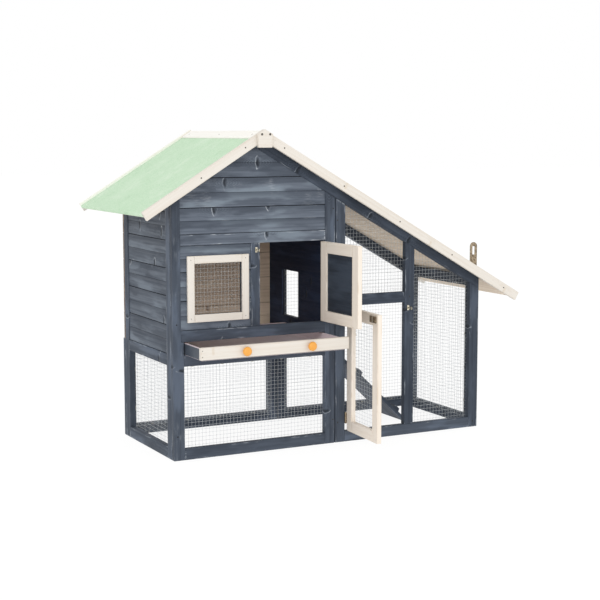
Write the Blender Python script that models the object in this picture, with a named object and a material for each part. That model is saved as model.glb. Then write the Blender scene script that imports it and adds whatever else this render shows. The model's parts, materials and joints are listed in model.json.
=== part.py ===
"""A two-storey wooden rabbit hutch: a house over a mesh pen, with a lean-to run on its right.

Metres, +X to the right along the front, +Y to the back, +Z up. The origin is under the foot of
the front left post. The doors and the tray are modelled open, which is joint value 0.
"""

from math import atan, cos, hypot, pi, radians, sin

import bmesh
import bpy
from mathutils import Matrix, Vector

# ---- driving dimensions ------------------------------------------------------------------
GAP = 0.0003                 # between pieces that touch
DOOR_CLEAR = 0.003           # all round a door in its opening
FILL_TURN = 0.3              # in radians, while a plate with holes is filled

FRAME_LENGTH = 1.204         # along the front
FRAME_DEPTH = 0.470
POST = 0.038                 # width of posts and rails
BOARD = 0.020                # thickness of posts and rails
POST_REBATE = 0.010          # the left post is this much narrower beside the house boards

HOUSE_LENGTH = 0.603         # left edge of the frame to the right edge of the house
MODULE_GAP = 0.003           # between the house's and the run's own posts
RUN_DOOR_OPENING = 0.244     # between the run's left post and the post its door shuts on

TRAY_RAIL_Z = 0.314          # undersides of the rails
SLOT_HEIGHT = 0.043          # between the tray rail and the floor rail
RUN_RAIL_Z = 0.480
LINTEL_Z = 0.713
LINTEL_HEIGHT = 0.035
MULLION_X = 0.283
MULLION_WIDTH = 0.033

APEX_X = 0.316
APEX_Z = 1.090               # top of the fascias
LEFT_SLOPE = 0.612           # rise over run
RIGHT_SLOPE = 0.571
LEFT_OVERHANG = 0.114        # past the frame, along the ground
RIGHT_OVERHANG = 0.156
FRONT_OVERHANG = 0.034
BACK_OVERHANG = 0.130
FASCIA_HEIGHT = 0.032
FASCIA_THICKNESS = 0.012
FASCIA_STANDS_PROUD = 0.008  # of the felt
FELT = 0.0016
DECK = 0.011
DECK_SHORT = 0.002           # of the felt, at the eaves
CAP_WIDTH = 0.042
CAP_THICKNESS = 0.004
GUSSET_WIDTH = 0.056
GUSSET_FOOT_WIDTH = 0.050
GUSSET_HEIGHT = 0.060

CLADDING = 0.010
CLADDING_INSET = 0.003       # behind the face of the posts
DOORWAY_Y = 0.219
DOORWAY_WIDTH = 0.130
DOORWAY_Z = 0.415
DOORWAY_HEIGHT = 0.168
DOORWAY_STEP = 0.003         # from the kerb of the wall's bottom rail up to the doorway

WINDOW_X = 0.051
WINDOW_Z = 0.459
WINDOW_WIDTH = 0.222
WINDOW_HEIGHT = 0.219
WINDOW_TRIM = 0.025
WINDOW_TRIM_THICKNESS = 0.008
SIDE_TOP_CLEAR = 0.004       # under the roof, at the top of the left side

MESH_WIRE = 0.0018           # side of a lattice bar
MESH_PITCH = 0.080
MESH_LAP = 0.008             # onto the frame behind the opening

DOOR_FRAME = 0.038           # width of stiles and rails
DOOR_THICKNESS = 0.016
DOOR_PANEL = 0.005
HOUSE_DOOR_ANGLE = 92.0      # how far it stands open, in degrees
RUN_DOOR_ANGLE = 94.0

HINGE_AXIS_OUT = 0.0035      # in front of the face of the frame
HINGE_RADIUS = 0.0028
HINGE_LENGTH = 0.040
HINGE_LEAF = 0.014
HINGE_PLATE = 0.0012
HINGE_INSET = 0.045          # from the end of the door to the hinge's middle

HASP_WIDTH = 0.022
HASP_STRAP = 0.044
HASP_PLATE = 0.0015
HASP_KNUCKLE = 0.0022
HASP_KNUCKLE_INSET = 0.0095  # from the door's free edge
HASP_SLOT_WIDTH = 0.009
HASP_SLOT_LENGTH = 0.0185
STAPLE_RUN_Z = 0.460
STAPLE_HOUSE_Z = 0.690
STAPLE_NECK_RADIUS = 0.0024
STAPLE_NECK = 0.0095
STAPLE_NECK_BITE = 0.002     # of the neck into the eye
STAPLE_EYE_LENGTH = 0.016
STAPLE_EYE_WIDTH = 0.015
STAPLE_THICKNESS = 0.003
STAPLE_FROM_DOOR = 0.0135    # from the edge of the door's opening

TRAY_PULL = 0.142            # how far it is drawn out
TRAY_WALL = 0.008
TRAY_FLOOR = 0.004
TRAY_CLEAR = 0.003
TRAY_FRONT_LAP = 0.007       # past the slot, onto each post
TRAY_FRONT_THICKNESS = 0.014
TRAY_FRONT_RISE = 0.006      # its bottom edge above the tray rail
TRAY_FRONT_OVER = 0.003      # its top edge above the slot
KNOB_SPACING = 0.238
KNOB_SHIFT = 0.0065          # of the pair, to the right of the middle
KNOB_RADIUS = 0.0155
KNOB_STEM_RADIUS = 0.008
KNOB_LENGTH = 0.020
RUNNER = 0.040

RAMP_TOP_Z = 0.400
RAMP_RUN = 0.425             # along the ground
RAMP_WIDTH = 0.170
RAMP_THICKNESS = 0.012
CLEAT = 0.011
CLEAT_SPACING = 0.110

ROOF_HASP_FROM_RIGHT = 0.036 # its middle to the right edge of the frame
ROOF_HASP_WIDTH = 0.030
ROOF_HASP_HEIGHT = 0.082
ROOF_HASP_THICKNESS = 0.0025
ROOF_HASP_BEHIND = 0.006     # behind the front fascia
ROOF_HASP_SLOT_WIDTH = 0.010
ROOF_HASP_SLOT_LENGTH = 0.030

# ---- places that follow from them --------------------------------------------------------
HOUSE_RIGHT_X = HOUSE_LENGTH - POST
RUN_LEFT_X = HOUSE_LENGTH + MODULE_GAP
RUN_OPENING_X = RUN_LEFT_X + POST
RIGHT_POST_X = FRAME_LENGTH - POST
TRAY_SLOT_Z = TRAY_RAIL_Z + POST
FLOOR_RAIL_Z = TRAY_SLOT_Z + SLOT_HEIGHT
HOUSE_OPENING_Z = FLOOR_RAIL_Z + POST
LINTEL_TOP_Z = LINTEL_Z + LINTEL_HEIGHT
DOOR_OPENING_X = MULLION_X + MULLION_WIDTH
MID_POST_X = RUN_OPENING_X + RUN_DOOR_OPENING
MESH_SEAM_X = MID_POST_X + POST / 2
LEFT_EAVE_X = -LEFT_OVERHANG
RIGHT_EAVE_X = FRAME_LENGTH + RIGHT_OVERHANG
ROOF_FRONT_Y = -FRONT_OVERHANG
ROOF_BACK_Y = FRAME_DEPTH + BACK_OVERHANG
ROOF_HASP_X = FRAME_LENGTH - ROOF_HASP_FROM_RIGHT
BACK_INNER_Y = FRAME_DEPTH - BOARD
SIDE_FRONT_Y = BOARD + GAP
SIDE_BACK_Y = BACK_INNER_Y - GAP
RAMP_TOP_X = HOUSE_LENGTH + GAP
WALL_X = HOUSE_RIGHT_X + POST - BOARD - CLADDING
RUNNER_TOP_Z = TRAY_SLOT_Z
MESH_Y = BOARD + GAP
ORIGIN = Vector((POST / 2, BOARD / 2, 0.0))

# Distances below the fascias' top line, measured square to the slope.
FELT_TOP = FASCIA_STANDS_PROUD
DECK_TOP = FELT_TOP + FELT + GAP
DECK_BOTTOM = DECK_TOP + DECK
FRAME_TOP = DECK_BOTTOM + GAP


def roof_z(x, below):
    """Height at x of the line that lies this far below the fascias' top, square to the slope."""
    slope = LEFT_SLOPE if x < APEX_X else RIGHT_SLOPE
    return APEX_Z - slope * abs(x - APEX_X) - below * hypot(1.0, slope)


def apex_z(below):
    """The lower of the two slopes' lines where they meet."""
    return APEX_Z - below * hypot(1.0, max(LEFT_SLOPE, RIGHT_SLOPE))


# ---- colours -----------------------------------------------------------------------------
GREY_STAIN = (0.085, 0.110, 0.155, 1.0)
DARK_STAIN = (0.030, 0.042, 0.065, 1.0)
CREAM = (0.90, 0.82, 0.72, 1.0)
BARE_WOOD = (0.42, 0.31, 0.22, 1.0)
MINT = (0.55, 0.80, 0.56, 1.0)
GALVANISED = (0.62, 0.64, 0.66, 1.0)
BRONZE = (0.16, 0.13, 0.10, 1.0)
NICKEL = (0.60, 0.57, 0.50, 1.0)
ORANGE = (0.90, 0.33, 0.03, 1.0)
TRAY_GREY = (0.28, 0.22, 0.22, 1.0)


def material(name, color, roughness, metallic=0.0):
    """A Principled BSDF material for one sub-part."""
    made = bpy.data.materials.new(name)
    made.use_nodes = True
    shader = made.node_tree.nodes["Principled BSDF"]
    shader.inputs["Base Color"].default_value = color
    shader.inputs["Roughness"].default_value = roughness
    shader.inputs["Metallic"].default_value = metallic
    return made


def clear_scene():
    for item in list(bpy.data.objects):
        bpy.data.objects.remove(item, do_unlink=True)


# ---- building blocks ---------------------------------------------------------------------
def object_from(name, mesh_builder, finish, pivot=None, parent=None, turn=None):
    """Turn a bmesh in frame coordinates into a named object whose origin is its pivot.

    A turned object is modelled shut and then swung about the upright through its pivot.
    """
    pivot = Vector(pivot) if pivot else Vector((0.0, 0.0, 0.0))
    bmesh.ops.recalc_face_normals(mesh_builder, faces=mesh_builder.faces)
    bmesh.ops.translate(mesh_builder, verts=mesh_builder.verts, vec=-pivot)
    mesh = bpy.data.meshes.new(name)
    mesh_builder.to_mesh(mesh)
    mesh_builder.free()
    made = bpy.data.objects.new(name, mesh)
    bpy.context.collection.objects.link(made)
    color, roughness, metallic = finish
    mesh.materials.append(material(name, color, roughness, metallic))
    if parent:
        made.parent = parent
        made.location = pivot - Vector(parent["pivot"])
    else:
        made.location = pivot - ORIGIN
    if turn:
        made.rotation_euler = turn
    return made


def joint_empty(name, pivot, turn=(0.0, 0.0, 0.0), parent=None):
    """An empty on a joint's axis that carries the pieces that move together."""
    made = bpy.data.objects.new(name, None)
    bpy.context.collection.objects.link(made)
    made["pivot"] = Vector(pivot)
    if parent:
        made.parent = parent
        made.location = Vector(pivot) - Vector(parent["pivot"])
    else:
        made.location = Vector(pivot) - ORIGIN
    made.rotation_euler = turn
    return made


def on_plane(plane, across, up, depth):
    """A point given by its place on a wall's plane and its depth square to it."""
    if plane == "front":
        return Vector((across, depth, up))
    if plane == "side":
        return Vector((depth, across, up))
    return Vector((across, up, depth))


def add_plate(builder, outline, near, far, plane="front", holes=()):
    """A flat board with square edges: an outline and its holes, from near to far."""
    edges = []
    for loop in (outline, *holes):
        points = [builder.verts.new(on_plane(plane, a, b, near)) for a, b in loop]
        if not holes:
            builder.faces.new(points)
            break
        for start, end in zip(points, points[1:] + points[:1]):
            edges.append(builder.edges.new((start, end)))
    if holes:
        # The fill misses faces when many corners line up, so it is done with the plane turned.
        square = on_plane(plane, 0, 0, 1)
        aside = Matrix.Rotation(FILL_TURN, 3, square)
        bmesh.ops.transform(builder, verts=builder.verts, matrix=aside.to_4x4())
        bmesh.ops.triangle_fill(builder, edges=edges, use_beauty=True, normal=square)
        bmesh.ops.transform(builder, verts=builder.verts, matrix=aside.inverted().to_4x4())
    raised = bmesh.ops.extrude_face_region(builder, geom=builder.faces[:], use_keep_orig=True)
    moved = [item for item in raised["geom"] if isinstance(item, bmesh.types.BMVert)]
    bmesh.ops.translate(builder, verts=moved, vec=on_plane(plane, 0, 0, far - near))


def plate(name, outline, near, far, finish, plane="front", holes=(), **place):
    builder = bmesh.new()
    add_plate(builder, outline, near, far, plane, holes)
    return object_from(name, builder, finish, **place)


def rectangle(left, bottom, right, top):
    return [(left, bottom), (right, bottom), (right, top), (left, top)]


def block(name, low, high, finish, **place):
    """A rectangular piece between two corners."""
    outline = rectangle(low[0], low[2], high[0], high[2])
    return plate(name, outline, low[1], high[1], finish, **place)


def turned(name, radii_and_stations, start, direction, finish, sides=24, **place):
    """A round solid on an axis: (radius, distance along the axis) pairs from end to end."""
    builder = bmesh.new()
    rings = []
    for radius, station in radii_and_stations:
        ring = [builder.verts.new((radius * cos(2 * pi * k / sides), radius * sin(2 * pi * k / sides),
                                   station)) for k in range(sides)]
        rings.append(ring)
    for lower, upper in zip(rings, rings[1:]):
        for k in range(sides):
            after = (k + 1) % sides
            builder.faces.new((lower[k], lower[after], upper[after], upper[k]))
    builder.faces.new(rings[0])
    builder.faces.new(rings[-1])
    aim = Vector((0, 0, 1)).rotation_difference(Vector(direction)).to_matrix().to_4x4()
    bmesh.ops.transform(builder, verts=builder.verts, matrix=Matrix.Translation(start) @ aim)
    return object_from(name, builder, finish, **place)


def clipped(loop, edge_start, edge_end):
    """The part of a convex loop that lies to the left of a line."""
    def side(point):
        return ((edge_end[0] - edge_start[0]) * (point[1] - edge_start[1])
                - (edge_end[1] - edge_start[1]) * (point[0] - edge_start[0]))
    kept = []
    for here, there in zip(loop, loop[1:] + loop[:1]):
        a, b = side(here), side(there)
        if a >= 0:
            kept.append(here)
        if a * b < 0:
            t = a / (a - b)
            kept.append((here[0] + t * (there[0] - here[0]), here[1] + t * (there[1] - here[1])))
    return kept


def inset_convex(outline, distance):
    """A convex outline, anticlockwise, moved in by a distance."""
    loop = [(p[0], p[1]) for p in outline]
    for start, end in zip(outline, outline[1:] + outline[:1]):
        run = hypot(end[0] - start[0], end[1] - start[1])
        shift = (-(end[1] - start[1]) / run * distance, (end[0] - start[0]) / run * distance)
        loop = clipped(loop, (start[0] + shift[0], start[1] + shift[1]),
                       (end[0] + shift[0], end[1] + shift[1]))
    return loop


def without_twins(loop):
    """A loop without the points that lie closer than a gap to the point before them."""
    return [here for before, here in zip(loop[-1:] + loop[:-1], loop)
            if hypot(here[0] - before[0], here[1] - before[1]) > GAP]


def area(loop):
    return 0.5 * sum(a[0] * b[1] - b[0] * a[1] for a, b in zip(loop, loop[1:] + loop[:1]))


def lattice_holes(outline):
    """The holes of a wire lattice that fills a convex outline, with a bar along every edge."""
    inner = inset_convex(outline, MESH_WIRE)
    low = (min(p[0] for p in inner), min(p[1] for p in inner))
    high = (max(p[0] for p in inner), max(p[1] for p in inner))
    counts = [max(1, round((high[i] - low[i]) / MESH_PITCH)) for i in (0, 1)]
    steps = [(high[i] - low[i] + MESH_WIRE) / counts[i] for i in (0, 1)]
    holes = []
    for column in range(counts[0]):
        for row in range(counts[1]):
            left = low[0] + column * steps[0]
            bottom = low[1] + row * steps[1]
            cell = rectangle(left, bottom, left + steps[0] - MESH_WIRE, bottom + steps[1] - MESH_WIRE)
            for start, end in zip(inner, inner[1:] + inner[:1]):
                cell = clipped(cell, start, end) if cell else cell
            cell = without_twins(cell)
            if len(cell) > 2 and area(cell) > (3 * MESH_WIRE) ** 2:
                holes.append(cell)
    return holes


def lattice(name, outline, near, plane="front", **place):
    """A sheet of welded mesh, as bars of the same steel per area at a wider spacing."""
    return plate(name, outline, near, near + MESH_WIRE, STEEL_WIRE, plane, lattice_holes(outline), **place)


def box_union(name, boxes, finish, **place):
    """One timber frame made of rails and posts that overlap: glued into a single solid."""
    pieces = []
    for number, (low, high) in enumerate(boxes):
        builder = bmesh.new()
        add_plate(builder, rectangle(low[0], low[2], high[0], high[2]), low[1], high[1])
        bmesh.ops.recalc_face_normals(builder, faces=builder.faces)
        mesh = bpy.data.meshes.new(f"{name}_{number}")
        builder.to_mesh(mesh)
        builder.free()
        pieces.append(mesh)
    return pieces_joined(name, pieces, finish, **place)


def pieces_joined(name, meshes, finish, **place):
    """The Boolean union of meshes in frame coordinates."""
    helpers = []
    for mesh in meshes:
        helper = bpy.data.objects.new(mesh.name, mesh)
        bpy.context.collection.objects.link(helper)
        helpers.append(helper)
    first = helpers[0]
    for other in helpers[1:]:
        joined = first.modifiers.new("joined", "BOOLEAN")
        joined.operation = "UNION"
        joined.solver = "EXACT"
        joined.object = other
    bpy.context.view_layer.update()
    shape = first.evaluated_get(bpy.context.evaluated_depsgraph_get())
    builder = bmesh.new()
    builder.from_mesh(shape.to_mesh())
    shape.to_mesh_clear()
    bmesh.ops.remove_doubles(builder, verts=builder.verts, dist=1e-6)
    bmesh.ops.dissolve_limit(builder, angle_limit=radians(0.5), verts=builder.verts,
                             edges=builder.edges)
    bmesh.ops.triangulate(builder, faces=builder.faces)
    for helper in helpers:
        bpy.data.objects.remove(helper, do_unlink=True)
    return object_from(name, builder, finish, **place)


PAINTED_WOOD = (GREY_STAIN, 0.62, 0.0)
DARK_WOOD = (DARK_STAIN, 0.62, 0.0)
CREAM_WOOD = (CREAM, 0.55, 0.0)
RAW_WOOD = (BARE_WOOD, 0.75, 0.0)
ROOF_FELT = (MINT, 0.90, 0.0)
STEEL_WIRE = (GALVANISED, 0.40, 0.9)
BRONZED_STEEL = (BRONZE, 0.45, 0.8)
NICKELLED_STEEL = (NICKEL, 0.35, 0.9)
ORANGE_PLASTIC = (ORANGE, 0.35, 0.0)
TRAY_SHEET = (TRAY_GREY, 0.35, 0.0)


# ---- the house and the run ---------------------------------------------------------------
def under_rake(left, right, foot=0.0):
    """A post that ends under the front rake."""
    below = FRAME_TOP + POST + GAP
    return [(left, foot), (right, foot), (right, roof_z(right, below)), (left, roof_z(left, below))]


def build_house_front():
    rebate_x = POST - POST_REBATE
    left_post = [(0.0, 0.0), (POST, 0.0), (POST, FLOOR_RAIL_Z), (rebate_x, FLOOR_RAIL_Z),
                 (rebate_x, roof_z(rebate_x, FRAME_TOP)), (0.0, roof_z(0.0, FRAME_TOP))]
    plate("house_post_left", left_post, 0.0, BOARD, PAINTED_WOOD)
    plate("house_post_right", under_rake(HOUSE_RIGHT_X, HOUSE_LENGTH), 0.0, BOARD, PAINTED_WOOD)
    left, right = POST + GAP, HOUSE_RIGHT_X - GAP
    block("house_sill", (left, 0.0, 0.0), (right, BOARD, POST), PAINTED_WOOD)
    block("tray_rail", (left, 0.0, TRAY_RAIL_Z), (right, BOARD, TRAY_SLOT_Z), PAINTED_WOOD)
    upper_left = rebate_x + GAP
    block("floor_rail", (upper_left, 0.0, FLOOR_RAIL_Z + GAP), (right, BOARD, HOUSE_OPENING_Z),
          PAINTED_WOOD)
    block("house_lintel", (upper_left, 0.0, LINTEL_Z), (right, BOARD, LINTEL_TOP_Z), PAINTED_WOOD)
    block("mullion", (MULLION_X, 0.0, HOUSE_OPENING_Z + GAP),
          (DOOR_OPENING_X, BOARD, LINTEL_Z - GAP), PAINTED_WOOD)
    rake = [(APEX_X, roof_z(APEX_X, FRAME_TOP + POST)),
            (FRAME_LENGTH, roof_z(FRAME_LENGTH, FRAME_TOP + POST)),
            (FRAME_LENGTH, roof_z(FRAME_LENGTH, FRAME_TOP)),
            (APEX_X, roof_z(APEX_X, FRAME_TOP))]
    plate("front_rake", rake, 0.0, BOARD, DARK_WOOD)


def build_cladding():
    near, far = CLADDING_INSET, CLADDING_INSET + CLADDING
    left, right = POST - POST_REBATE + GAP, HOUSE_RIGHT_X - GAP
    below_rake = FRAME_TOP + POST + GAP
    gable = [(left, LINTEL_TOP_Z + GAP), (right, LINTEL_TOP_Z + GAP),
             (right, roof_z(right, below_rake)), (APEX_X, roof_z(APEX_X, below_rake)),
             (APEX_X - GAP, apex_z(FRAME_TOP)),
             (left, roof_z(left, FRAME_TOP))]
    plate("gable_boards", gable, near, far, PAINTED_WOOD)
    opening = rectangle(WINDOW_X + WINDOW_TRIM, WINDOW_Z + WINDOW_TRIM,
                        WINDOW_X + WINDOW_WIDTH - WINDOW_TRIM, WINDOW_Z + WINDOW_HEIGHT - WINDOW_TRIM)
    wall = rectangle(left, HOUSE_OPENING_Z + GAP, MULLION_X - GAP, LINTEL_Z - GAP)
    plate("window_boards", wall, near, far, PAINTED_WOOD, holes=[opening])

    side_top = roof_z(0.0, FRAME_TOP) - SIDE_TOP_CLEAR
    side_wall = rectangle(SIDE_FRONT_Y + POST + GAP, TRAY_SLOT_Z + GAP,
                          SIDE_BACK_Y - POST - GAP, side_top)
    plate("left_boards", side_wall, near, far, PAINTED_WOOD, plane="side")

    back_left, back_right = GAP, HOUSE_LENGTH - GAP
    back = [(back_left, TRAY_SLOT_Z + GAP), (back_right, TRAY_SLOT_Z + GAP),
            (back_right, roof_z(back_right, FRAME_TOP)), (APEX_X, apex_z(FRAME_TOP)),
            (back_left, roof_z(back_left, FRAME_TOP))]
    plate("back_boards", back, BACK_INNER_Y, BACK_INNER_Y + CLADDING, RAW_WOOD)

    top = roof_z(WALL_X + CLADDING, FRAME_TOP)
    inner = rectangle(SIDE_FRONT_Y, TRAY_SLOT_Z + GAP, BACK_INNER_Y - GAP, top)
    doorway = rectangle(DOORWAY_Y, DOORWAY_Z, DOORWAY_Y + DOORWAY_WIDTH, DOORWAY_Z + DOORWAY_HEIGHT)
    plate("doorway_wall", inner, WALL_X, WALL_X + CLADDING, DARK_WOOD, plane="side", holes=[doorway])


def build_window():
    outer = rectangle(WINDOW_X, WINDOW_Z, WINDOW_X + WINDOW_WIDTH, WINDOW_Z + WINDOW_HEIGHT)
    inner = rectangle(WINDOW_X + WINDOW_TRIM, WINDOW_Z + WINDOW_TRIM,
                      WINDOW_X + WINDOW_WIDTH - WINDOW_TRIM, WINDOW_Z + WINDOW_HEIGHT - WINDOW_TRIM)
    front = CLADDING_INSET - GAP - WINDOW_TRIM_THICKNESS
    plate("window_frame", outer, front, CLADDING_INSET - GAP, CREAM_WOOD, holes=[inner])
    lap = rectangle(inner[0][0] - MESH_LAP, inner[0][1] - MESH_LAP,
                    inner[2][0] + MESH_LAP, inner[2][1] + MESH_LAP)
    lattice("window_mesh", lap, CLADDING_INSET + CLADDING + GAP)


def build_side_and_back_frames():
    front, back = SIDE_FRONT_Y, SIDE_BACK_Y
    left_top = roof_z(0.0, FRAME_TOP) - SIDE_TOP_CLEAR
    box_union("left_frame", [
        ((0.0, front, 0.0), (BOARD, front + POST, left_top)),
        ((0.0, back - POST, 0.0), (BOARD, back, left_top)),
        ((0.0, front, 0.0), (BOARD, back, POST)),
        ((0.0, front, TRAY_RAIL_Z), (BOARD + RUNNER, back, RUNNER_TOP_Z)),
    ], PAINTED_WOOD)
    right_top = roof_z(FRAME_LENGTH, FRAME_TOP)
    plate("right_frame", rectangle(front, 0.0, back, right_top), FRAME_LENGTH - BOARD, FRAME_LENGTH,
          DARK_WOOD, plane="side",
          holes=[rectangle(front + POST, POST, back - POST, right_top - POST)])
    rail_end = HOUSE_LENGTH - GAP
    box_union("doorway_rail", [
        ((HOUSE_RIGHT_X - RUNNER + BOARD, front, TRAY_RAIL_Z), (rail_end, back, RUNNER_TOP_Z)),
        ((WALL_X + CLADDING + GAP, front, TRAY_RAIL_Z), (rail_end, back, DOORWAY_Z - DOORWAY_STEP)),
    ], DARK_WOOD)
    plate("back_house_frame", rectangle(0.0, 0.0, HOUSE_LENGTH, TRAY_SLOT_Z), BACK_INNER_Y, FRAME_DEPTH,
          DARK_WOOD, holes=[rectangle(POST, POST, HOUSE_RIGHT_X, TRAY_RAIL_Z)])
    end = RIGHT_POST_X
    under = FRAME_TOP + POST
    outer = [(RUN_LEFT_X, 0.0), (FRAME_LENGTH, 0.0), (FRAME_LENGTH, roof_z(FRAME_LENGTH, FRAME_TOP)),
             (RUN_LEFT_X, roof_z(RUN_LEFT_X, FRAME_TOP))]
    inner = [(RUN_OPENING_X, POST), (end, POST), (end, roof_z(end, under)),
             (RUN_OPENING_X, roof_z(RUN_OPENING_X, under))]
    plate("back_run_frame", outer, BACK_INNER_Y, FRAME_DEPTH, DARK_WOOD, holes=[inner])


def build_run_front():
    plate("run_post_left", under_rake(RUN_LEFT_X, RUN_OPENING_X), 0.0, BOARD, PAINTED_WOOD)
    plate("run_post_middle", under_rake(MID_POST_X, MID_POST_X + POST, POST + GAP), 0.0, BOARD, DARK_WOOD)
    plate("run_post_right", under_rake(RIGHT_POST_X, FRAME_LENGTH), 0.0, BOARD, DARK_WOOD)
    block("run_sill", (RUN_OPENING_X + GAP, 0.0, 0.0), (RIGHT_POST_X - GAP, BOARD, POST), PAINTED_WOOD)
    block("run_rail", (RUN_OPENING_X + GAP, 0.0, RUN_RAIL_Z), (MID_POST_X - GAP, BOARD, RUN_RAIL_Z + POST),
          DARK_WOOD)


def build_meshes():
    """Welded mesh, stapled behind the frames."""
    lap = MESH_LAP
    low_front = rectangle(BOARD + GAP, POST - lap, HOUSE_RIGHT_X + lap, TRAY_RAIL_Z - GAP)
    lattice("pen_front_mesh", low_front, MESH_Y)
    low_side = rectangle(SIDE_FRONT_Y + POST - lap, POST - lap, SIDE_BACK_Y - POST + lap,
                         TRAY_RAIL_Z - GAP)
    lattice("pen_left_mesh", low_side, BOARD + GAP, plane="side")
    low_back = rectangle(POST - lap, POST - lap, HOUSE_RIGHT_X + lap, TRAY_RAIL_Z - GAP)
    lattice("pen_back_mesh", low_back, BACK_INNER_Y - GAP - MESH_WIRE)

    below = FRAME_TOP + POST - lap
    left_end, seam, over_rail = RUN_OPENING_X - lap, MESH_SEAM_X - GAP, RUN_RAIL_Z + POST - lap
    door_side = [(left_end, over_rail), (seam, over_rail), (seam, roof_z(seam, below)),
                 (left_end, roof_z(left_end, below))]
    lattice("run_door_side_mesh", door_side, MESH_Y)
    right_end = FRAME_LENGTH - BOARD - GAP
    front_right = [(MESH_SEAM_X, POST - lap), (right_end, POST - lap),
                   (right_end, roof_z(right_end, below)), (MESH_SEAM_X, roof_z(MESH_SEAM_X, below))]
    lattice("run_front_mesh", front_right, MESH_Y)
    right_top = roof_z(FRAME_LENGTH, FRAME_TOP)
    side = rectangle(SIDE_FRONT_Y + POST - lap, POST - lap, SIDE_BACK_Y - POST + lap, right_top - POST + lap)
    lattice("run_right_mesh", side, FRAME_LENGTH - BOARD - GAP - MESH_WIRE, plane="side")
    back_end = RIGHT_POST_X + lap
    back = [(left_end, POST - lap), (back_end, POST - lap), (back_end, roof_z(back_end, below)),
            (left_end, roof_z(left_end, below))]
    lattice("run_back_mesh", back, BACK_INNER_Y - GAP - MESH_WIRE)


# ---- the roof ----------------------------------------------------------------------------
def slope_strip(side, top, bottom, start, end):
    """A strip along one slope between two distances below the fascias' top line.

    It runs from the plane of the ridge down to the eave, cut square there.
    """
    slope, eave = (LEFT_SLOPE, LEFT_EAVE_X) if side < 0 else (RIGHT_SLOPE, RIGHT_EAVE_X)
    length = hypot(1.0, slope)
    along = Vector((side / length, -slope / length))
    square = Vector((-side * slope / length, -1.0 / length))
    tip = Vector((eave, APEX_Z - slope * abs(eave - APEX_X)))
    ridge = Vector((APEX_X, APEX_Z))

    def at_ridge(below):
        point = ridge + Vector((0.0, -below * length))
        return point + along * start

    def at_eave(below):
        return tip + square * below - along * end
    loop = [at_ridge(top), at_eave(top), at_eave(bottom), at_ridge(bottom)]
    return [(p.x, p.y) for p in loop]


def build_roof():
    inner_front = ROOF_FRONT_Y + FASCIA_THICKNESS + GAP
    inner_back = ROOF_BACK_Y - FASCIA_THICKNESS - GAP
    seam = GAP / 2
    for side, name in ((-1, "left"), (1, "right")):
        deck = slope_strip(side, DECK_TOP, DECK_BOTTOM, seam, DECK_SHORT)
        plate(f"roof_deck_{name}", deck, inner_front, inner_back, RAW_WOOD)
        felt = slope_strip(side, FELT_TOP, FELT_TOP + FELT, seam, 0.0)
        plate(f"roof_felt_{name}", felt, inner_front, inner_back, ROOF_FELT)
        front = slope_strip(side, 0.0, FASCIA_HEIGHT, seam, 0.0)
        plate(f"front_fascia_{name}", front, ROOF_FRONT_Y, ROOF_FRONT_Y + FASCIA_THICKNESS, CREAM_WOOD)
        plate(f"back_fascia_{name}", front, ROOF_BACK_Y - FASCIA_THICKNESS, ROOF_BACK_Y, CREAM_WOOD)

    left, right = LEFT_SLOPE, RIGHT_SLOPE
    run_left, run_right = CAP_WIDTH / hypot(1, left), CAP_WIDTH / hypot(1, right)
    under, over = FELT_TOP - GAP, FELT_TOP - GAP - CAP_THICKNESS
    cap = [(APEX_X, roof_z(APEX_X, under)),
           (APEX_X + run_right, roof_z(APEX_X + run_right, under)),
           (APEX_X + run_right, roof_z(APEX_X + run_right, over)),
           (APEX_X, roof_z(APEX_X, over)),
           (APEX_X - run_left, roof_z(APEX_X - run_left, over)),
           (APEX_X - run_left, roof_z(APEX_X - run_left, under))]
    plate("ridge_cap", cap, inner_front, inner_back, CREAM_WOOD)

    half, foot = GUSSET_WIDTH / 2, GUSSET_FOOT_WIDTH / 2
    top_left, top_right = APEX_Z - left * half, APEX_Z - right * half
    base = APEX_Z - GUSSET_HEIGHT
    gusset = [(APEX_X - foot, base), (APEX_X + foot, base), (APEX_X + half, top_right),
              (APEX_X, APEX_Z), (APEX_X - half, top_left)]
    plate("ridge_gusset", gusset, ROOF_FRONT_Y - GAP - FASCIA_THICKNESS, ROOF_FRONT_Y - GAP, CREAM_WOOD)


# ---- doors -------------------------------------------------------------------------------
def hinge(name, axis_x, height, toward):
    """A butt hinge: its barrel on the door's axis and its leaf on the post's side, in the door's gap."""
    axis_y = -HINGE_AXIS_OUT
    low, high = height - HINGE_LENGTH / 2, height + HINGE_LENGTH / 2
    barrel = bmesh.new()
    sides = 12
    outline = [(axis_x + HINGE_RADIUS * cos(2 * pi * k / sides),
                axis_y + HINGE_RADIUS * sin(2 * pi * k / sides)) for k in range(sides)]
    add_plate(barrel, outline, low, high, plane="flat")
    bmesh.ops.recalc_face_normals(barrel, faces=barrel.faces)
    leaf = bmesh.new()
    post_side = axis_x + toward * (DOOR_CLEAR / 2 - GAP)
    door_side = post_side - toward * HINGE_PLATE
    add_plate(leaf, rectangle(min(post_side, door_side), low, max(post_side, door_side), high),
              axis_y, axis_y + HINGE_LEAF)
    bmesh.ops.recalc_face_normals(leaf, faces=leaf.faces)
    meshes = []
    for part, builder in (("barrel", barrel), ("leaf", leaf)):
        mesh = bpy.data.meshes.new(f"{name}_{part}")
        builder.to_mesh(mesh)
        builder.free()
        meshes.append(mesh)
    return pieces_joined(name, meshes, BRONZED_STEEL)


def door_frame_outline(left, bottom, right, top):
    inner = rectangle(left + DOOR_FRAME, bottom + DOOR_FRAME, right - DOOR_FRAME, top - DOOR_FRAME)
    return rectangle(left, bottom, right, top), inner


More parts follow.
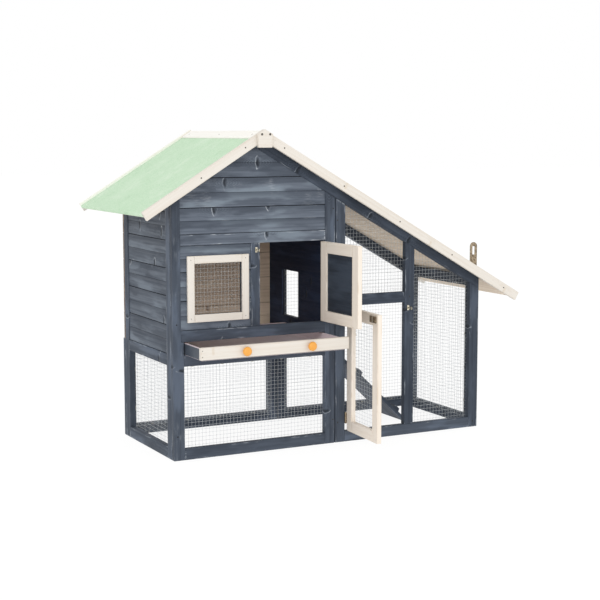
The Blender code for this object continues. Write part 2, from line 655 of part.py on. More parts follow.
def build_house_door():
    left, right = DOOR_OPENING_X + DOOR_CLEAR, HOUSE_RIGHT_X - DOOR_CLEAR
    bottom, top = HOUSE_OPENING_Z + DOOR_CLEAR, LINTEL_Z - DOOR_CLEAR
    pivot = (HOUSE_RIGHT_X - DOOR_CLEAR / 2, -HINGE_AXIS_OUT, bottom)
    swing = joint_empty("house_door_pivot", pivot, (0.0, 0.0, radians(HOUSE_DOOR_ANGLE)))
    outer, inner = door_frame_outline(left, bottom, right, top)
    plate("house_door_frame", outer, 0.0, DOOR_THICKNESS, CREAM_WOOD, holes=[inner],
          pivot=pivot, parent=swing)
    front = (DOOR_THICKNESS - DOOR_PANEL) / 2
    panel = rectangle(inner[0][0] + GAP, inner[0][1] + GAP, inner[2][0] - GAP, inner[2][1] - GAP)
    plate("house_door_panel", panel, front, front + DOOR_PANEL, DARK_WOOD, pivot=pivot, parent=swing)
    for end, height in (("lower", bottom + HINGE_INSET), ("upper", top - HINGE_INSET)):
        hinge(f"house_door_hinge_{end}", pivot[0], height, 1)
    hasp("house", left, 1, STAPLE_HOUSE_Z, swing)
    staple("house_staple", DOOR_OPENING_X - STAPLE_FROM_DOOR, STAPLE_HOUSE_Z)


def build_run_door():
    left, right = RUN_OPENING_X + DOOR_CLEAR, MID_POST_X - DOOR_CLEAR
    bottom, top = POST + DOOR_CLEAR, RUN_RAIL_Z - DOOR_CLEAR
    pivot = (RUN_OPENING_X + DOOR_CLEAR / 2, -HINGE_AXIS_OUT, bottom)
    swing = joint_empty("run_door_pivot", pivot, (0.0, 0.0, -radians(RUN_DOOR_ANGLE)))
    outer, inner = door_frame_outline(left, bottom, right, top)
    plate("run_door_frame", outer, 0.0, DOOR_THICKNESS, CREAM_WOOD, holes=[inner],
          pivot=pivot, parent=swing)
    lap = rectangle(inner[0][0] - MESH_LAP, inner[0][1] - MESH_LAP,
                    inner[2][0] + MESH_LAP, inner[2][1] + MESH_LAP)
    lattice("run_door_mesh", lap, DOOR_THICKNESS + GAP, pivot=pivot, parent=swing)
    for end, height in (("lower", bottom + HINGE_INSET), ("upper", top - HINGE_INSET)):
        hinge(f"run_door_hinge_{end}", pivot[0], height, -1)
    hasp("run", right, -1, STAPLE_RUN_Z, swing)
    staple("run_staple", MID_POST_X + STAPLE_FROM_DOOR, STAPLE_RUN_Z)


def hasp(owner, free_edge, inward, height, door):
    """A hasp's strap, folded back on a door's face.

    It turns about an upright knuckle beside the door's free edge and reaches the staple.
    """
    knuckle_x = free_edge + inward * HASP_KNUCKLE_INSET
    knuckle_y = -GAP - HASP_KNUCKLE
    low, high = height - HASP_WIDTH / 2, height + HASP_WIDTH / 2
    pivot = (knuckle_x, knuckle_y, height)
    swing = joint_empty(f"{owner}_hasp_pivot", pivot, parent=door)
    reach = knuckle_x + inward * HASP_STRAP
    slot_middle = (free_edge - inward * (DOOR_CLEAR + STAPLE_FROM_DOOR))
    slot_middle = knuckle_x + (knuckle_x - slot_middle)
    half, tall = HASP_SLOT_WIDTH / 2, HASP_SLOT_LENGTH / 2
    slot = rectangle(slot_middle - half, height - tall, slot_middle + half, height + tall)
    strap = bmesh.new()
    far = knuckle_y - GAP
    outline = rectangle(min(knuckle_x, reach), low, max(knuckle_x, reach), high)
    add_plate(strap, outline, far - HASP_PLATE, far, holes=[slot])
    bmesh.ops.recalc_face_normals(strap, faces=strap.faces)
    knuckle = bmesh.new()
    sides = 12
    circle = [(knuckle_x + HASP_KNUCKLE * cos(2 * pi * k / sides),
               knuckle_y + HASP_KNUCKLE * sin(2 * pi * k / sides)) for k in range(sides)]
    add_plate(knuckle, circle, low, high, plane="flat")
    bmesh.ops.recalc_face_normals(knuckle, faces=knuckle.faces)
    meshes = []
    for part, builder in (("strap", strap), ("knuckle", knuckle)):
        mesh = bpy.data.meshes.new(f"{owner}_{part}")
        builder.to_mesh(mesh)
        builder.free()
        meshes.append(mesh)
    pieces_joined(f"{owner}_hasp_strap", meshes, BRONZED_STEEL, pivot=pivot, parent=swing)


def staple(name, x, z):
    """A turning staple: a round neck out of the post, and a flat eye that passes the hasp's slot."""
    neck = bmesh.new()
    sides = 16
    circle = [(x + STAPLE_NECK_RADIUS * cos(2 * pi * k / sides),
               z + STAPLE_NECK_RADIUS * sin(2 * pi * k / sides)) for k in range(sides)]
    add_plate(neck, circle, -GAP - STAPLE_NECK - STAPLE_NECK_BITE, -GAP)
    bmesh.ops.recalc_face_normals(neck, faces=neck.faces)
    eye = bmesh.new()
    outer_y, inner_y = -GAP - STAPLE_NECK - STAPLE_EYE_LENGTH, -GAP - STAPLE_NECK
    half = STAPLE_EYE_WIDTH / 2
    wall = STAPLE_THICKNESS
    outer = [(inner_y, z - half), (inner_y, z + half), (outer_y, z + half), (outer_y, z - half)]
    hole = [(inner_y - wall, z - half + wall), (inner_y - wall, z + half - wall),
            (outer_y + wall, z + half - wall), (outer_y + wall, z - half + wall)]
    add_plate(eye, outer, x - STAPLE_THICKNESS / 2, x + STAPLE_THICKNESS / 2, plane="side", holes=[hole])
    bmesh.ops.recalc_face_normals(eye, faces=eye.faces)
    meshes = []
    for part, builder in (("neck", neck), ("eye", eye)):
        mesh = bpy.data.meshes.new(f"{name}_{part}")
        builder.to_mesh(mesh)
        builder.free()
        meshes.append(mesh)
    pieces_joined(name, meshes, NICKELLED_STEEL, pivot=(x, 0.0, z))


# ---- tray, ramp and roof hasp ------------------------------------------------------------
def build_tray():
    left, right = POST + TRAY_CLEAR, HOUSE_RIGHT_X - TRAY_CLEAR
    floor = TRAY_SLOT_Z + TRAY_CLEAR / 2
    top = FLOOR_RAIL_Z - TRAY_CLEAR
    front_face = -TRAY_PULL - TRAY_FRONT_THICKNESS
    back_face = BACK_INNER_Y - TRAY_CLEAR - TRAY_PULL
    pull = joint_empty("tray_pull", (left, front_face, floor))
    start = front_face + TRAY_FRONT_THICKNESS
    walls = [
        ((left, start, floor), (left + TRAY_WALL, back_face, top)),
        ((right - TRAY_WALL, start, floor), (right, back_face, top)),
        ((left, back_face - TRAY_WALL, floor), (right, back_face, top)),
        ((left, start, floor), (right, start + TRAY_WALL, top)),
        ((left, start, floor), (right, back_face, floor + TRAY_FLOOR)),
    ]
    box_union("tray", walls, TRAY_SHEET, pivot=pull["pivot"], parent=pull)
    lap = TRAY_CLEAR + TRAY_FRONT_LAP
    front_low, front_high = TRAY_SLOT_Z + TRAY_FRONT_RISE, FLOOR_RAIL_Z + TRAY_FRONT_OVER
    block("tray_front", (left - lap, front_face - GAP, front_low), (right + lap, start - GAP, front_high),
          CREAM_WOOD, pivot=pull["pivot"], parent=pull)
    middle = (left + right) / 2 + KNOB_SHIFT
    height = (front_low + front_high) / 2
    dome = [(radius, share * KNOB_LENGTH) for radius, share in (
        (KNOB_STEM_RADIUS, 0.0), (KNOB_STEM_RADIUS, 0.30), (KNOB_RADIUS * 0.92, 0.42),
        (KNOB_RADIUS, 0.60), (KNOB_RADIUS * 0.88, 0.82), (KNOB_RADIUS * 0.55, 1.0))]
    for name, shift in (("left", -0.5), ("right", 0.5)):
        start_at = (middle + shift * KNOB_SPACING, front_face - 2 * GAP, height)
        turned(f"tray_knob_{name}", dome, start_at, (0.0, -1.0, 0.0), ORANGE_PLASTIC,
               pivot=pull["pivot"], parent=pull)


def build_ramp():
    """A board that slopes down from the doorway to the ground, with cleats for footholds."""
    angle = atan(RAMP_TOP_Z / RAMP_RUN)
    along = Vector((cos(angle), -sin(angle)))
    square = Vector((sin(angle), cos(angle)))
    top = Vector((RAMP_TOP_X, RAMP_TOP_Z))
    length = (RAMP_TOP_Z - GAP) / sin(angle)
    outline = [top, top + along * length]
    heel = outline[1] + Vector((-RAMP_THICKNESS / sin(angle), 0.0))
    back_face = top + Vector((0.0, -RAMP_THICKNESS / cos(angle)))
    outline += [heel, back_face]
    middle = DOORWAY_Y + DOORWAY_WIDTH / 2
    near, far = middle - RAMP_WIDTH / 2, middle + RAMP_WIDTH / 2
    loop = [(p.x, p.y) for p in outline]
    count = int(length / CLEAT_SPACING)
    first = (length - (count - 1) * CLEAT_SPACING) / 2
    stepped = [loop[0]]
    for number in range(count):
        middle_of = top + along * (first + number * CLEAT_SPACING)
        for shift, rise in ((-0.7, 0.0), (-0.5, 1.0), (0.5, 1.0), (0.7, 0.0)):
            point = middle_of + along * shift * CLEAT * 2 + square * rise * CLEAT
            stepped.append((point.x, point.y))
    stepped += loop[1:]
    plate("ramp", stepped, near, far, DARK_WOOD, pivot=(RAMP_TOP_X, middle, RAMP_TOP_Z))


def build_roof_hasp():
    """A slotted strap that stands on the right slope behind the front fascia.

    It folds back onto the felt about its foot, which lies along the slope.
    """
    left, right = ROOF_HASP_X - ROOF_HASP_WIDTH / 2, ROOF_HASP_X + ROOF_HASP_WIDTH / 2
    near = ROOF_FRONT_Y + FASCIA_THICKNESS + ROOF_HASP_BEHIND
    foot_left, foot_middle, foot_right = (roof_z(x, FELT_TOP) + GAP * 2
                                          for x in (left, ROOF_HASP_X, right))
    top = foot_left + ROOF_HASP_HEIGHT - ROOF_HASP_WIDTH / 2
    radius, steps = ROOF_HASP_WIDTH / 2, 10
    arc = [(ROOF_HASP_X + radius * cos(pi * k / steps), top + radius * sin(pi * k / steps))
           for k in range(steps + 1)]
    outline = [(left, foot_left), (right, foot_right)] + arc
    slot_low = top - ROOF_HASP_SLOT_LENGTH
    half = ROOF_HASP_SLOT_WIDTH / 2
    slot = rectangle(ROOF_HASP_X - half, slot_low, ROOF_HASP_X + half, top)
    plate("roof_hasp", outline, near, near + ROOF_HASP_THICKNESS, BRONZED_STEEL, holes=[slot],
          pivot=(ROOF_HASP_X, near + ROOF_HASP_THICKNESS, foot_middle))


def main():
    clear_scene()
    build_house_front()
    build_cladding()
    build_window()
    build_side_and_back_frames()
    build_run_front()
    build_meshes()
    build_roof()
    build_house_door()
    build_run_door()
    build_tray()
    build_ramp()
    build_roof_hasp()


main()
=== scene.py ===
"""Looks of a wooden rabbit hutch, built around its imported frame.

Every timber, board, wire, screw and fitting is its own piece, in metres, in the frame's axes:
+X to the right along the front, +Y to the back, +Z up.
"""

import json
import logging
import random
from dataclasses import dataclass, field
from enum import Enum
from math import cos, hypot, pi, radians, sin
from typing import Callable, Iterable, Optional, Sequence

import bmesh
import bpy
from mathutils import Matrix, Vector


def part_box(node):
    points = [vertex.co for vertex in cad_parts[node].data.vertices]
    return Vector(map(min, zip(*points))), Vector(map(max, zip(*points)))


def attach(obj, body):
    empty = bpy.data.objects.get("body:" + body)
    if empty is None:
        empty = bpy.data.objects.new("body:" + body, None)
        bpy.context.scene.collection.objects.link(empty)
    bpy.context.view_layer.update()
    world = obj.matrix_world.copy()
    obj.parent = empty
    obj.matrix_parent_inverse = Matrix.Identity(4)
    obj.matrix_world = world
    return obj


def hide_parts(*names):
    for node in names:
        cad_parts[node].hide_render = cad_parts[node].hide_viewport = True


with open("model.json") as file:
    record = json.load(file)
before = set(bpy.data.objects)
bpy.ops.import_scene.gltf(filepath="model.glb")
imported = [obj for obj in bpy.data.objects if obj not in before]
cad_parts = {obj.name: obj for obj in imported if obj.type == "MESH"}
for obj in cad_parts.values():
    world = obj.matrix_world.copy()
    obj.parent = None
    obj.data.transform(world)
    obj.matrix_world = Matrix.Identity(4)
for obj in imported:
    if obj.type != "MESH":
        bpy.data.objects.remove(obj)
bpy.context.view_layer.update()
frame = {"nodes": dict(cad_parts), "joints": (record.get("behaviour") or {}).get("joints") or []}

MM = 0.001
log = logging.getLogger("hutch")
Point = tuple[float, float]
Socket = bpy.types.NodeSocket
Tree = bpy.types.NodeTree
Shape = bmesh.types.BMesh


# ---- nodes and colours -------------------------------------------------------------------
def linear(hex_code: str) -> tuple[float, float, float, float]:
    """Turn an sRGB hex colour into linear RGBA.

    Args:
        hex_code: six hex digits after a hash.
    Returns:
        Linear red, green and blue, and 1 for alpha.
    """
    def channel(start: int) -> float:
        """One channel, from its two hex digits."""
        value = int(hex_code[start:start + 2], 16) / 255
        return value / 12.92 if value <= 0.04045 else ((value + 0.055) / 1.055) ** 2.4
    return channel(1), channel(3), channel(5), 1.0


def add(tree: Tree, kind: str, inputs: Optional[dict] = None,
        **settings: object) -> bpy.types.Node:
    """Add a node with its settings, values and links.

    Args:
        tree: the material's node tree.
        kind: the node's type, without its ShaderNode prefix.
        inputs: socket name or number to a value, or to an output socket to link from.
        settings: attributes of the node itself.
    Returns:
        The new node.
    """
    node = tree.nodes.new("ShaderNode" + kind)
    for key, value in settings.items():
        setattr(node, key, value)
    for key, value in (inputs or {}).items():
        if isinstance(value, Socket):
            tree.links.new(value, node.inputs[key])
        else:
            node.inputs[key].default_value = value
    return node


class Along(Enum):
    """Which way a timber's grain runs: the turn that brings it onto +X."""

    X = (0.0, 0.0, 0.0)
    Y = (0.0, 0.0, -90.0)
    Z = (0.0, 90.0, 0.0)
    LEFT_SLOPE = (0.0, 31.5, 0.0)
    RIGHT_SLOPE = (0.0, -29.7, 0.0)
    RAMP = (0.0, -43.0, 0.0)


class Finish:
    """What a surface is made of. Each finish makes its material once and then shares it."""

    made: dict = {}

    def material(self) -> bpy.types.Material:
        """The finish's material, made on first use."""
        if self not in Finish.made:
            made = bpy.data.materials.new(self.label())
            made.use_nodes = True
            tree = made.node_tree
            shader = tree.nodes["Principled BSDF"]
            self.dress(tree, shader)
            Finish.made[self] = made
        return Finish.made[self]

    def label(self) -> str:
        """The material's name."""
        return type(self).__name__

    def dress(self, tree: Tree, shader: bpy.types.Node) -> None:
        """Build the material's nodes.

        Args:
            tree: the material's node tree.
            shader: its Principled BSDF.
        """
        raise NotImplementedError


def piece_space(tree: Tree, turn: Sequence[float]) -> Socket:
    """Coordinates in metres whose X runs along the grain, shifted by a different amount per piece.

    Args:
        tree: the material's node tree.
        turn: rotation in degrees that brings the grain onto X.
    Returns:
        The coordinate output.
    """
    place = add(tree, "TexCoord")
    turned = add(tree, "Mapping", {"Vector": place.outputs["Object"],
                                   "Rotation": [radians(a) for a in turn]})
    who = add(tree, "ObjectInfo")
    shift = add(tree, "VectorMath", {0: who.outputs["Random"], 1: (7.1, 3.3, 5.7)}, operation="MULTIPLY")
    return add(tree, "VectorMath", {0: turned.outputs[0], 1: shift.outputs[0]}).outputs[0]


def scaled(tree: Tree, space: Socket, along: float,
           across: float) -> Socket:
    """Coordinates counted in features per metre along and across the grain."""
    return add(tree, "VectorMath", {0: space, 1: (along, across, across)}, operation="MULTIPLY").outputs[0]


def ramp(tree: Tree, value: Socket, low: float, high: float,
         bottom: float = 0.0, top: float = 1.0) -> Socket:
    """A smooth step of a value from one range to another."""
    return add(tree, "MapRange", {"Value": value, "From Min": low, "From Max": high,
                                  "To Min": bottom, "To Max": top},
               interpolation_type="SMOOTHSTEP").outputs[0]


def mixed(tree: Tree, share: Socket, first: object,
          second: object) -> Socket:
    """Mix two colours, each a value or an output socket, by a share."""
    return add(tree, "Mix", {0: share, 6: first, 7: second}, data_type="RGBA").outputs[2]


def maths(tree: Tree, operation: str, first: object, second: object = 0.0,
          third: object = 0.5) -> Socket:
    """One step of arithmetic between values or sockets."""
    return add(tree, "Math", {0: first, 1: second, 2: third}, operation=operation).outputs[0]


@dataclass(frozen=True)
class PineGrain:
    """The figure of slow-grown pine: growth lines that flow round scattered knots."""

    line_mm: float = 9.0        # between growth lines
    knot_mm: float = 9.5        # radius of a knot
    knots_along_mm: float = 190.0
    knots_across_mm: float = 85.0
    knot_share: float = 0.55

    def sockets(self, tree: Tree, along: Along) -> dict[str, Socket]:
        """Build the grain's masks.

        Args:
            tree: the material's node tree.
            along: the grain's direction.
        Returns:
            streaks, tone, knot, halo, rim and rings, each from 0 to 1, and the space they lie in.
        """
        space = piece_space(tree, along.value)
        parts = add(tree, "SeparateXYZ", {0: space}).outputs
        flat = add(tree, "CombineXYZ", {0: parts[0], 1: maths(tree, "ADD", parts[1], parts[2])}).outputs[0]
        per = (1000 / self.knots_along_mm, 1000 / self.knots_across_mm)
        cells = add(tree, "TexVoronoi", {"Vector": scaled(tree, flat, *per), "Scale": 1.0,
                                         "Randomness": 0.8}, voronoi_dimensions="2D")
        centre = add(tree, "VectorMath", {0: cells.outputs["Position"], 1: (1 / per[0], 1 / per[1], 0.0)},
                     operation="MULTIPLY")
        offset = add(tree, "VectorMath", {0: flat, 1: centre.outputs[0]}, operation="SUBTRACT").outputs[0]
        wobble = add(tree, "TexNoise", {"Vector": space, "Scale": 60.0, "Detail": 2.0})
        rough = maths(tree, "MULTIPLY_ADD", wobble.outputs[0], 0.9, 0.55)

        def reach(shift_mm: float) -> Socket:
            """Distance from a knot's middle, in a tall oval, with the middle moved along the grain."""
            moved = add(tree, "VectorMath", {0: offset, 1: (shift_mm * MM, 0.0, 0.0)}).outputs[0]
            tall = add(tree, "VectorMath", {0: moved, 1: (1.15, 0.52, 0.52)}, operation="MULTIPLY").outputs[0]
            length = add(tree, "VectorMath", {0: tall}, operation="LENGTH").outputs["Value"]
            return maths(tree, "MULTIPLY", length, rough)
        near = reach(0.0)
        long_offset = add(tree, "VectorMath", {0: offset, 1: (0.34, 1.0, 1.0)}, operation="MULTIPLY")
        far = add(tree, "VectorMath", {0: long_offset.outputs[0]}, operation="LENGTH").outputs["Value"]
        pick = add(tree, "SeparateColor", {0: cells.outputs["Color"]}).outputs[0]
        there = maths(tree, "LESS_THAN", pick, self.knot_share)
        size = self.knot_mm * MM
        hollow = ramp(tree, reach(-5.5), size * 0.30, size * 0.90, 0.45)
        knot = maths(tree, "MULTIPLY", ramp(tree, near, size, size * 0.45), maths(tree, "MULTIPLY", there,
                                                                                  hollow))
        one_side = ramp(tree, add(tree, "SeparateXYZ", {0: offset}).outputs[0], 1.0 * MM, -3.0 * MM, 0.1)
        rim = maths(tree, "MULTIPLY", maths(tree, "MULTIPLY", ramp(tree, near, size * 1.35, size * 1.15),
                                            there), maths(tree, "MULTIPLY", ramp(tree, near, size * 0.95,
                                                                                 size * 1.1), one_side))
        halo = maths(tree, "MULTIPLY", ramp(tree, far, size * 3.6, size * 0.8), there)
        away = add(tree, "VectorMath", {0: offset}, operation="NORMALIZE").outputs[0]
        push = add(tree, "VectorMath", {0: away, "Scale": maths(tree, "MULTIPLY", halo, -0.012)},
                   operation="SCALE").outputs[0]
        flowing = add(tree, "VectorMath", {0: space, 1: push}).outputs[0]
        lines = add(tree, "TexNoise", {"Vector": scaled(tree, flowing, 2.2, 1000 / self.line_mm),
                                       "Scale": 1.0, "Detail": 4.0, "Roughness": 0.62, "Distortion": 0.25})
        tone = add(tree, "TexNoise", {"Vector": scaled(tree, flowing, 5.0, 22.0), "Scale": 1.0,
                                      "Detail": 3.0})
        waves = maths(tree, "SINE", maths(tree, "MULTIPLY", far, 2 * pi / (3.4 * MM)))
        rings = maths(tree, "MULTIPLY", maths(tree, "MULTIPLY_ADD", waves, 0.5), halo)
        return {"streaks": lines.outputs[0], "tone": tone.outputs[0], "knot": knot, "halo": halo,
                "rim": rim, "rings": rings, "space": space}


@dataclass(frozen=True)
class StainedPine(Finish):
    """Knotty pine, sawn and brushed with a semi-opaque grey-blue stain: the grain and knots show
    through, and the stain has rubbed pale along edges and round knots."""

    along: Along
    body: str = "#646C78"
    deep: str = "#434A55"
    light: str = "#7B8691"
    rubbed: str = "#C3C8CE"
    knot: str = "#20262D"
    roughness: float = 0.60
    sheen: float = 0.25         # rough timber glints less than a smooth coat
    grain: PineGrain = PineGrain()

    def label(self) -> str:
        """The material's name."""
        return f"stained_pine_{self.body[1:]}_{self.along.name.lower()}"

    def dress(self, tree: Tree, shader: bpy.types.Node) -> None:
        """Stain over grain, knots and rubbed edges, with painted shade under each board's lap."""
        g = self.grain.sockets(tree, self.along)
        colour = mixed(tree, ramp(tree, g["streaks"], 0.34, 0.62, 0.35), linear(self.deep), linear(self.body))
        colour = mixed(tree, ramp(tree, g["tone"], 0.50, 0.66, 0.0, 0.85), colour, linear(self.light))
        colour = mixed(tree, ramp(tree, g["tone"], 0.46, 0.34, 0.0, 0.8), colour, linear(self.deep))
        colour = mixed(tree, ramp(tree, g["rings"], 0.35, 0.9, 0.0, 0.4), colour, linear(self.light))
        # painted shade: each board is darkened towards its top edge, as the shadow of the board that laps over
        # it
        lap_shade_share = add(tree, "Attribute", attribute_name="painted_lap_shade").outputs["Fac"]
        colour = mixed(tree, ramp(tree, lap_shade_share, 0.35, 1.0, 0.0, 0.75), colour, linear(self.deep))
        colour = mixed(tree, maths(tree, "MULTIPLY", g["knot"], 0.9), colour, linear(self.knot))
        scratch = add(tree, "TexNoise", {"Vector": scaled(tree, g["space"], 22.0, 300.0), "Scale": 1.0,
                                         "Detail": 5.0, "Roughness": 0.7}).outputs[0]
        patch = add(tree, "TexNoise", {"Vector": g["space"], "Scale": 13.0, "Detail": 3.0}).outputs[0]
        edge = maths(tree, "MULTIPLY", add(tree, "Attribute", attribute_name="wear").outputs["Fac"],
                     ramp(tree, patch, 0.50, 0.66))
        edge = maths(tree, "MULTIPLY", edge, ramp(tree, scratch, 0.48, 0.58))
        open_face = maths(tree, "MULTIPLY", ramp(tree, patch, 0.60, 0.80, 0.0, 0.3),
                          ramp(tree, scratch, 0.60, 0.68))
        rim = maths(tree, "MULTIPLY", g["rim"], ramp(tree, patch, 0.40, 0.60, 0.1, 0.8))
        rubbed = maths(tree, "MAXIMUM", maths(tree, "MAXIMUM", rim, edge), open_face)
        colour = mixed(tree, maths(tree, "MULTIPLY", rubbed, 0.8), colour, linear(self.rubbed))
        tree.links.new(colour, shader.inputs["Base Color"])
        tree.links.new(ramp(tree, g["streaks"], 0.3, 0.7, self.roughness + 0.12, self.roughness - 0.06),
                       shader.inputs["Roughness"])
        shader.inputs["Specular IOR Level"].default_value = self.sheen
        relief = maths(tree, "MULTIPLY_ADD", g["rings"], 0.6, g["streaks"])
        relief = maths(tree, "MULTIPLY_ADD", g["halo"], 1.8, relief)
        relief = maths(tree, "MULTIPLY_ADD", g["knot"], -2.0, relief)
        bump = add(tree, "Bump", {"Height": relief, "Strength": 1.0, "Distance": 1.0 * MM})
        tree.links.new(bump.outputs[0], shader.inputs["Normal"])


# painted shade: SIDE is the usual stain made darker for the boards that face left and for the back wall's rear
# face, which get less light
SIDE = {"body": "#5A626D", "deep": "#3D444F", "light": "#6E7782"}
POSTS = {"body": "#464E5A", "deep": "#363D48", "light": "#576170", "rubbed": "#B2B8BF",
         "grain": PineGrain(knot_share=0.25)}
DARK = {"body": "#39414D", "deep": "#2A313C", "light": "#4A5361", "rubbed": "#9AA1AA"}
PANEL = {"body": "#2F3742", "deep": "#262C36", "light": "#3C4551", "rubbed": "#8D949C"}
SHADED = {"body": "#212C43", "deep": "#192236", "light": "#29364E", "rubbed": "#38445A"}
JOINT = {"body": "#161B24", "deep": "#10141B", "light": "#1C222C", "rubbed": "#262D38"}


@dataclass(frozen=True)
class PaintedPine(Finish):
    """Planed pine sprayed with cream-white gloss: faint grain under the film, a little dirt in it."""

    along: Along
    body: str = "#DFD9D0"
    shade: str = "#D3C8BA"
    dirt: str = "#CDBFAB"
    roughness: float = 0.48

    def label(self) -> str:
        """The material's name."""
        return f"painted_pine_{self.body[1:]}_{self.along.name.lower()}"

    def dress(self, tree: Tree, shader: bpy.types.Node) -> None:
        """Paint with the grain telegraphing through."""
        g = PineGrain(knot_share=0.22).sockets(tree, self.along)
        colour = mixed(tree, ramp(tree, g["streaks"], 0.62, 0.34, 0.0, 0.45), linear(self.body),
                       linear(self.shade))
        colour = mixed(tree, maths(tree, "MULTIPLY", g["knot"], 0.35), colour, linear("#C6B294"))
        patch = add(tree, "TexNoise", {"Vector": g["space"], "Scale": 22.0, "Detail": 3.0}).outputs[0]
        edge = add(tree, "Attribute", attribute_name="wear").outputs["Fac"]
        soiled = maths(tree, "MULTIPLY", edge, ramp(tree, patch, 0.45, 0.7, 0.0, 0.5))
        colour = mixed(tree, soiled, colour, linear(self.dirt))
        tree.links.new(colour, shader.inputs["Base Color"])
        tree.links.new(ramp(tree, g["tone"], 0.3, 0.7, self.roughness, self.roughness + 0.14),
                       shader.inputs["Roughness"])
        relief = maths(tree, "ADD", g["streaks"], maths(tree, "MULTIPLY", g["halo"], 0.8))
        bump = add(tree, "Bump", {"Height": relief, "Strength": 0.55, "Distance": 0.4 * MM})
        tree.links.new(bump.outputs[0], shader.inputs["Normal"])


# painted light: the doors' cream paint is drawn brighter and warmer than the other trim, for the light on their
# left-facing faces
LIT_DOOR_PAINT = {"body": "#EDE3D6", "shade": "#DFD1C0", "dirt": "#CDB99E"}
# painted light: a whiter copy of the cream paint, with paler edge dirt, for the ridge cap and the back
# bargeboards, which the front lamp doesn't reach
LIT_RIDGE_PAINT = {"body": "#F6F4EE", "shade": "#EEEAE1", "dirt": "#E4DED2"}


@dataclass(frozen=True)
class BarePine(Finish):
    """Planed pine left bare: warm tan with darker growth lines and knots."""

    along: Along
    body: str = "#CBB59B"
    line: str = "#A98D70"
    roughness: float = 0.72

    def label(self) -> str:
        """The material's name."""
        return f"bare_pine_{self.body[1:]}_{self.along.name.lower()}"

    def dress(self, tree: Tree, shader: bpy.types.Node) -> None:
        """Bare wood grain."""
        g = PineGrain(line_mm=7.0, knot_share=0.15).sockets(tree, self.along)
        colour = mixed(tree, ramp(tree, g["streaks"], 0.35, 0.65), linear(self.line), linear(self.body))
        colour = mixed(tree, ramp(tree, g["tone"], 0.4, 0.75, 0.0, 0.4), colour, linear("#D8C6AE"))
        colour = mixed(tree, maths(tree, "MULTIPLY", g["halo"], 0.4), colour, linear(self.line))
        colour = mixed(tree, maths(tree, "MULTIPLY", g["knot"], 0.85), colour, linear("#6B4B32"))
        tree.links.new(colour, shader.inputs["Base Color"])
        shader.inputs["Roughness"].default_value = self.roughness
        bump = add(tree, "Bump", {"Height": g["streaks"], "Strength": 0.6, "Distance": 0.4 * MM})
        tree.links.new(bump.outputs[0], shader.inputs["Normal"])


@dataclass(frozen=True)
class MineralFelt(Finish):
    """Bitumen roofing felt faced with crushed mint-green mineral: a fine dull grit."""

    body: str = "#C4DFC1"
    deep: str = "#ABCDAA"
    pale: str = "#D8E9D4"
    grit_mm: float = 2.2        # real grit is under 1 mm: drawn coarser so that it shows

    def label(self) -> str:
        """The material's name."""
        return "mineral_felt_mint"

    def dress(self, tree: Tree, shader: bpy.types.Node) -> None:
        """Grit over soft, uneven colour."""
        place = add(tree, "TexCoord").outputs["Object"]
        grit = add(tree, "TexVoronoi", {"Vector": place, "Scale": 1000 / self.grit_mm})
        grains = add(tree, "SeparateColor", {0: grit.outputs["Color"]}).outputs[0]
        colour = mixed(tree, ramp(tree, grains, 0.55, 1.0, 0.0, 0.55), linear(self.body), linear(self.pale))
        colour = mixed(tree, ramp(tree, grains, 0.35, 0.0, 0.0, 0.6), colour, linear(self.deep))
        cloud = add(tree, "TexNoise", {"Vector": place, "Scale": 9.0, "Detail": 6.0,
                                       "Roughness": 0.7}).outputs[0]
        colour = mixed(tree, ramp(tree, cloud, 0.48, 0.68, 0.0, 0.55), colour, linear(self.pale))
        colour = mixed(tree, ramp(tree, cloud, 0.42, 0.28, 0.0, 0.5), colour, linear(self.deep))
        tree.links.new(colour, shader.inputs["Base Color"])
        shader.inputs["Roughness"].default_value = 0.92
        height = maths(tree, "ADD", grains, maths(tree, "MULTIPLY", cloud, 2.0))
        bump = add(tree, "Bump", {"Height": height, "Strength": 0.7, "Distance": 0.5 * MM})
        tree.links.new(bump.outputs[0], shader.inputs["Normal"])


@dataclass(frozen=True)
class Metal(Finish):
    """Plated steel: a metal colour with darker, duller tarnish in blotches."""

    name: str
    body: str
    tarnish: str
    roughness: float
    metallic: float = 1.0
    blotch_mm: float = 6.0

    def label(self) -> str:
        """The material's name."""
        return self.name

    def dress(self, tree: Tree, shader: bpy.types.Node) -> None:
        """Plate and tarnish."""
        place = add(tree, "TexCoord").outputs["Object"]
        blotch = add(tree, "TexNoise", {"Vector": place, "Scale": 1000 / self.blotch_mm,
                                        "Detail": 4.0}).outputs[0]
        share = ramp(tree, blotch, 0.42, 0.66)
        colour = mixed(tree, share, linear(self.body), linear(self.tarnish))
        tree.links.new(colour, shader.inputs["Base Color"])
        tree.links.new(ramp(tree, blotch, 0.3, 0.7, self.roughness, self.roughness + 0.2),
                       shader.inputs["Roughness"])
        shader.inputs["Metallic"].default_value = self.metallic
        bump = add(tree, "Bump", {"Height": blotch, "Strength": 0.25, "Distance": 0.2 * MM})
        tree.links.new(bump.outputs[0], shader.inputs["Normal"])


GALVANISED = Metal("galvanised_wire", "#C8CCCE", "#B4B8BB", 0.50, 0.45, 9.0)
BRONZED = Metal("bronze_plated_steel", "#A5957E", "#6C5E4E", 0.45, 0.85)
NICKELLED = Metal("nickel_plated_steel", "#D9D2BE", "#A39C86", 0.30)
PITCH_SCREW = Metal("black_japanned_screw", "#1D1B1A", "#12110F", 0.55, 0.2)
BLACK_SCREW = Metal("blackened_steel_screw", "#4A453F", "#2B2825", 0.45)


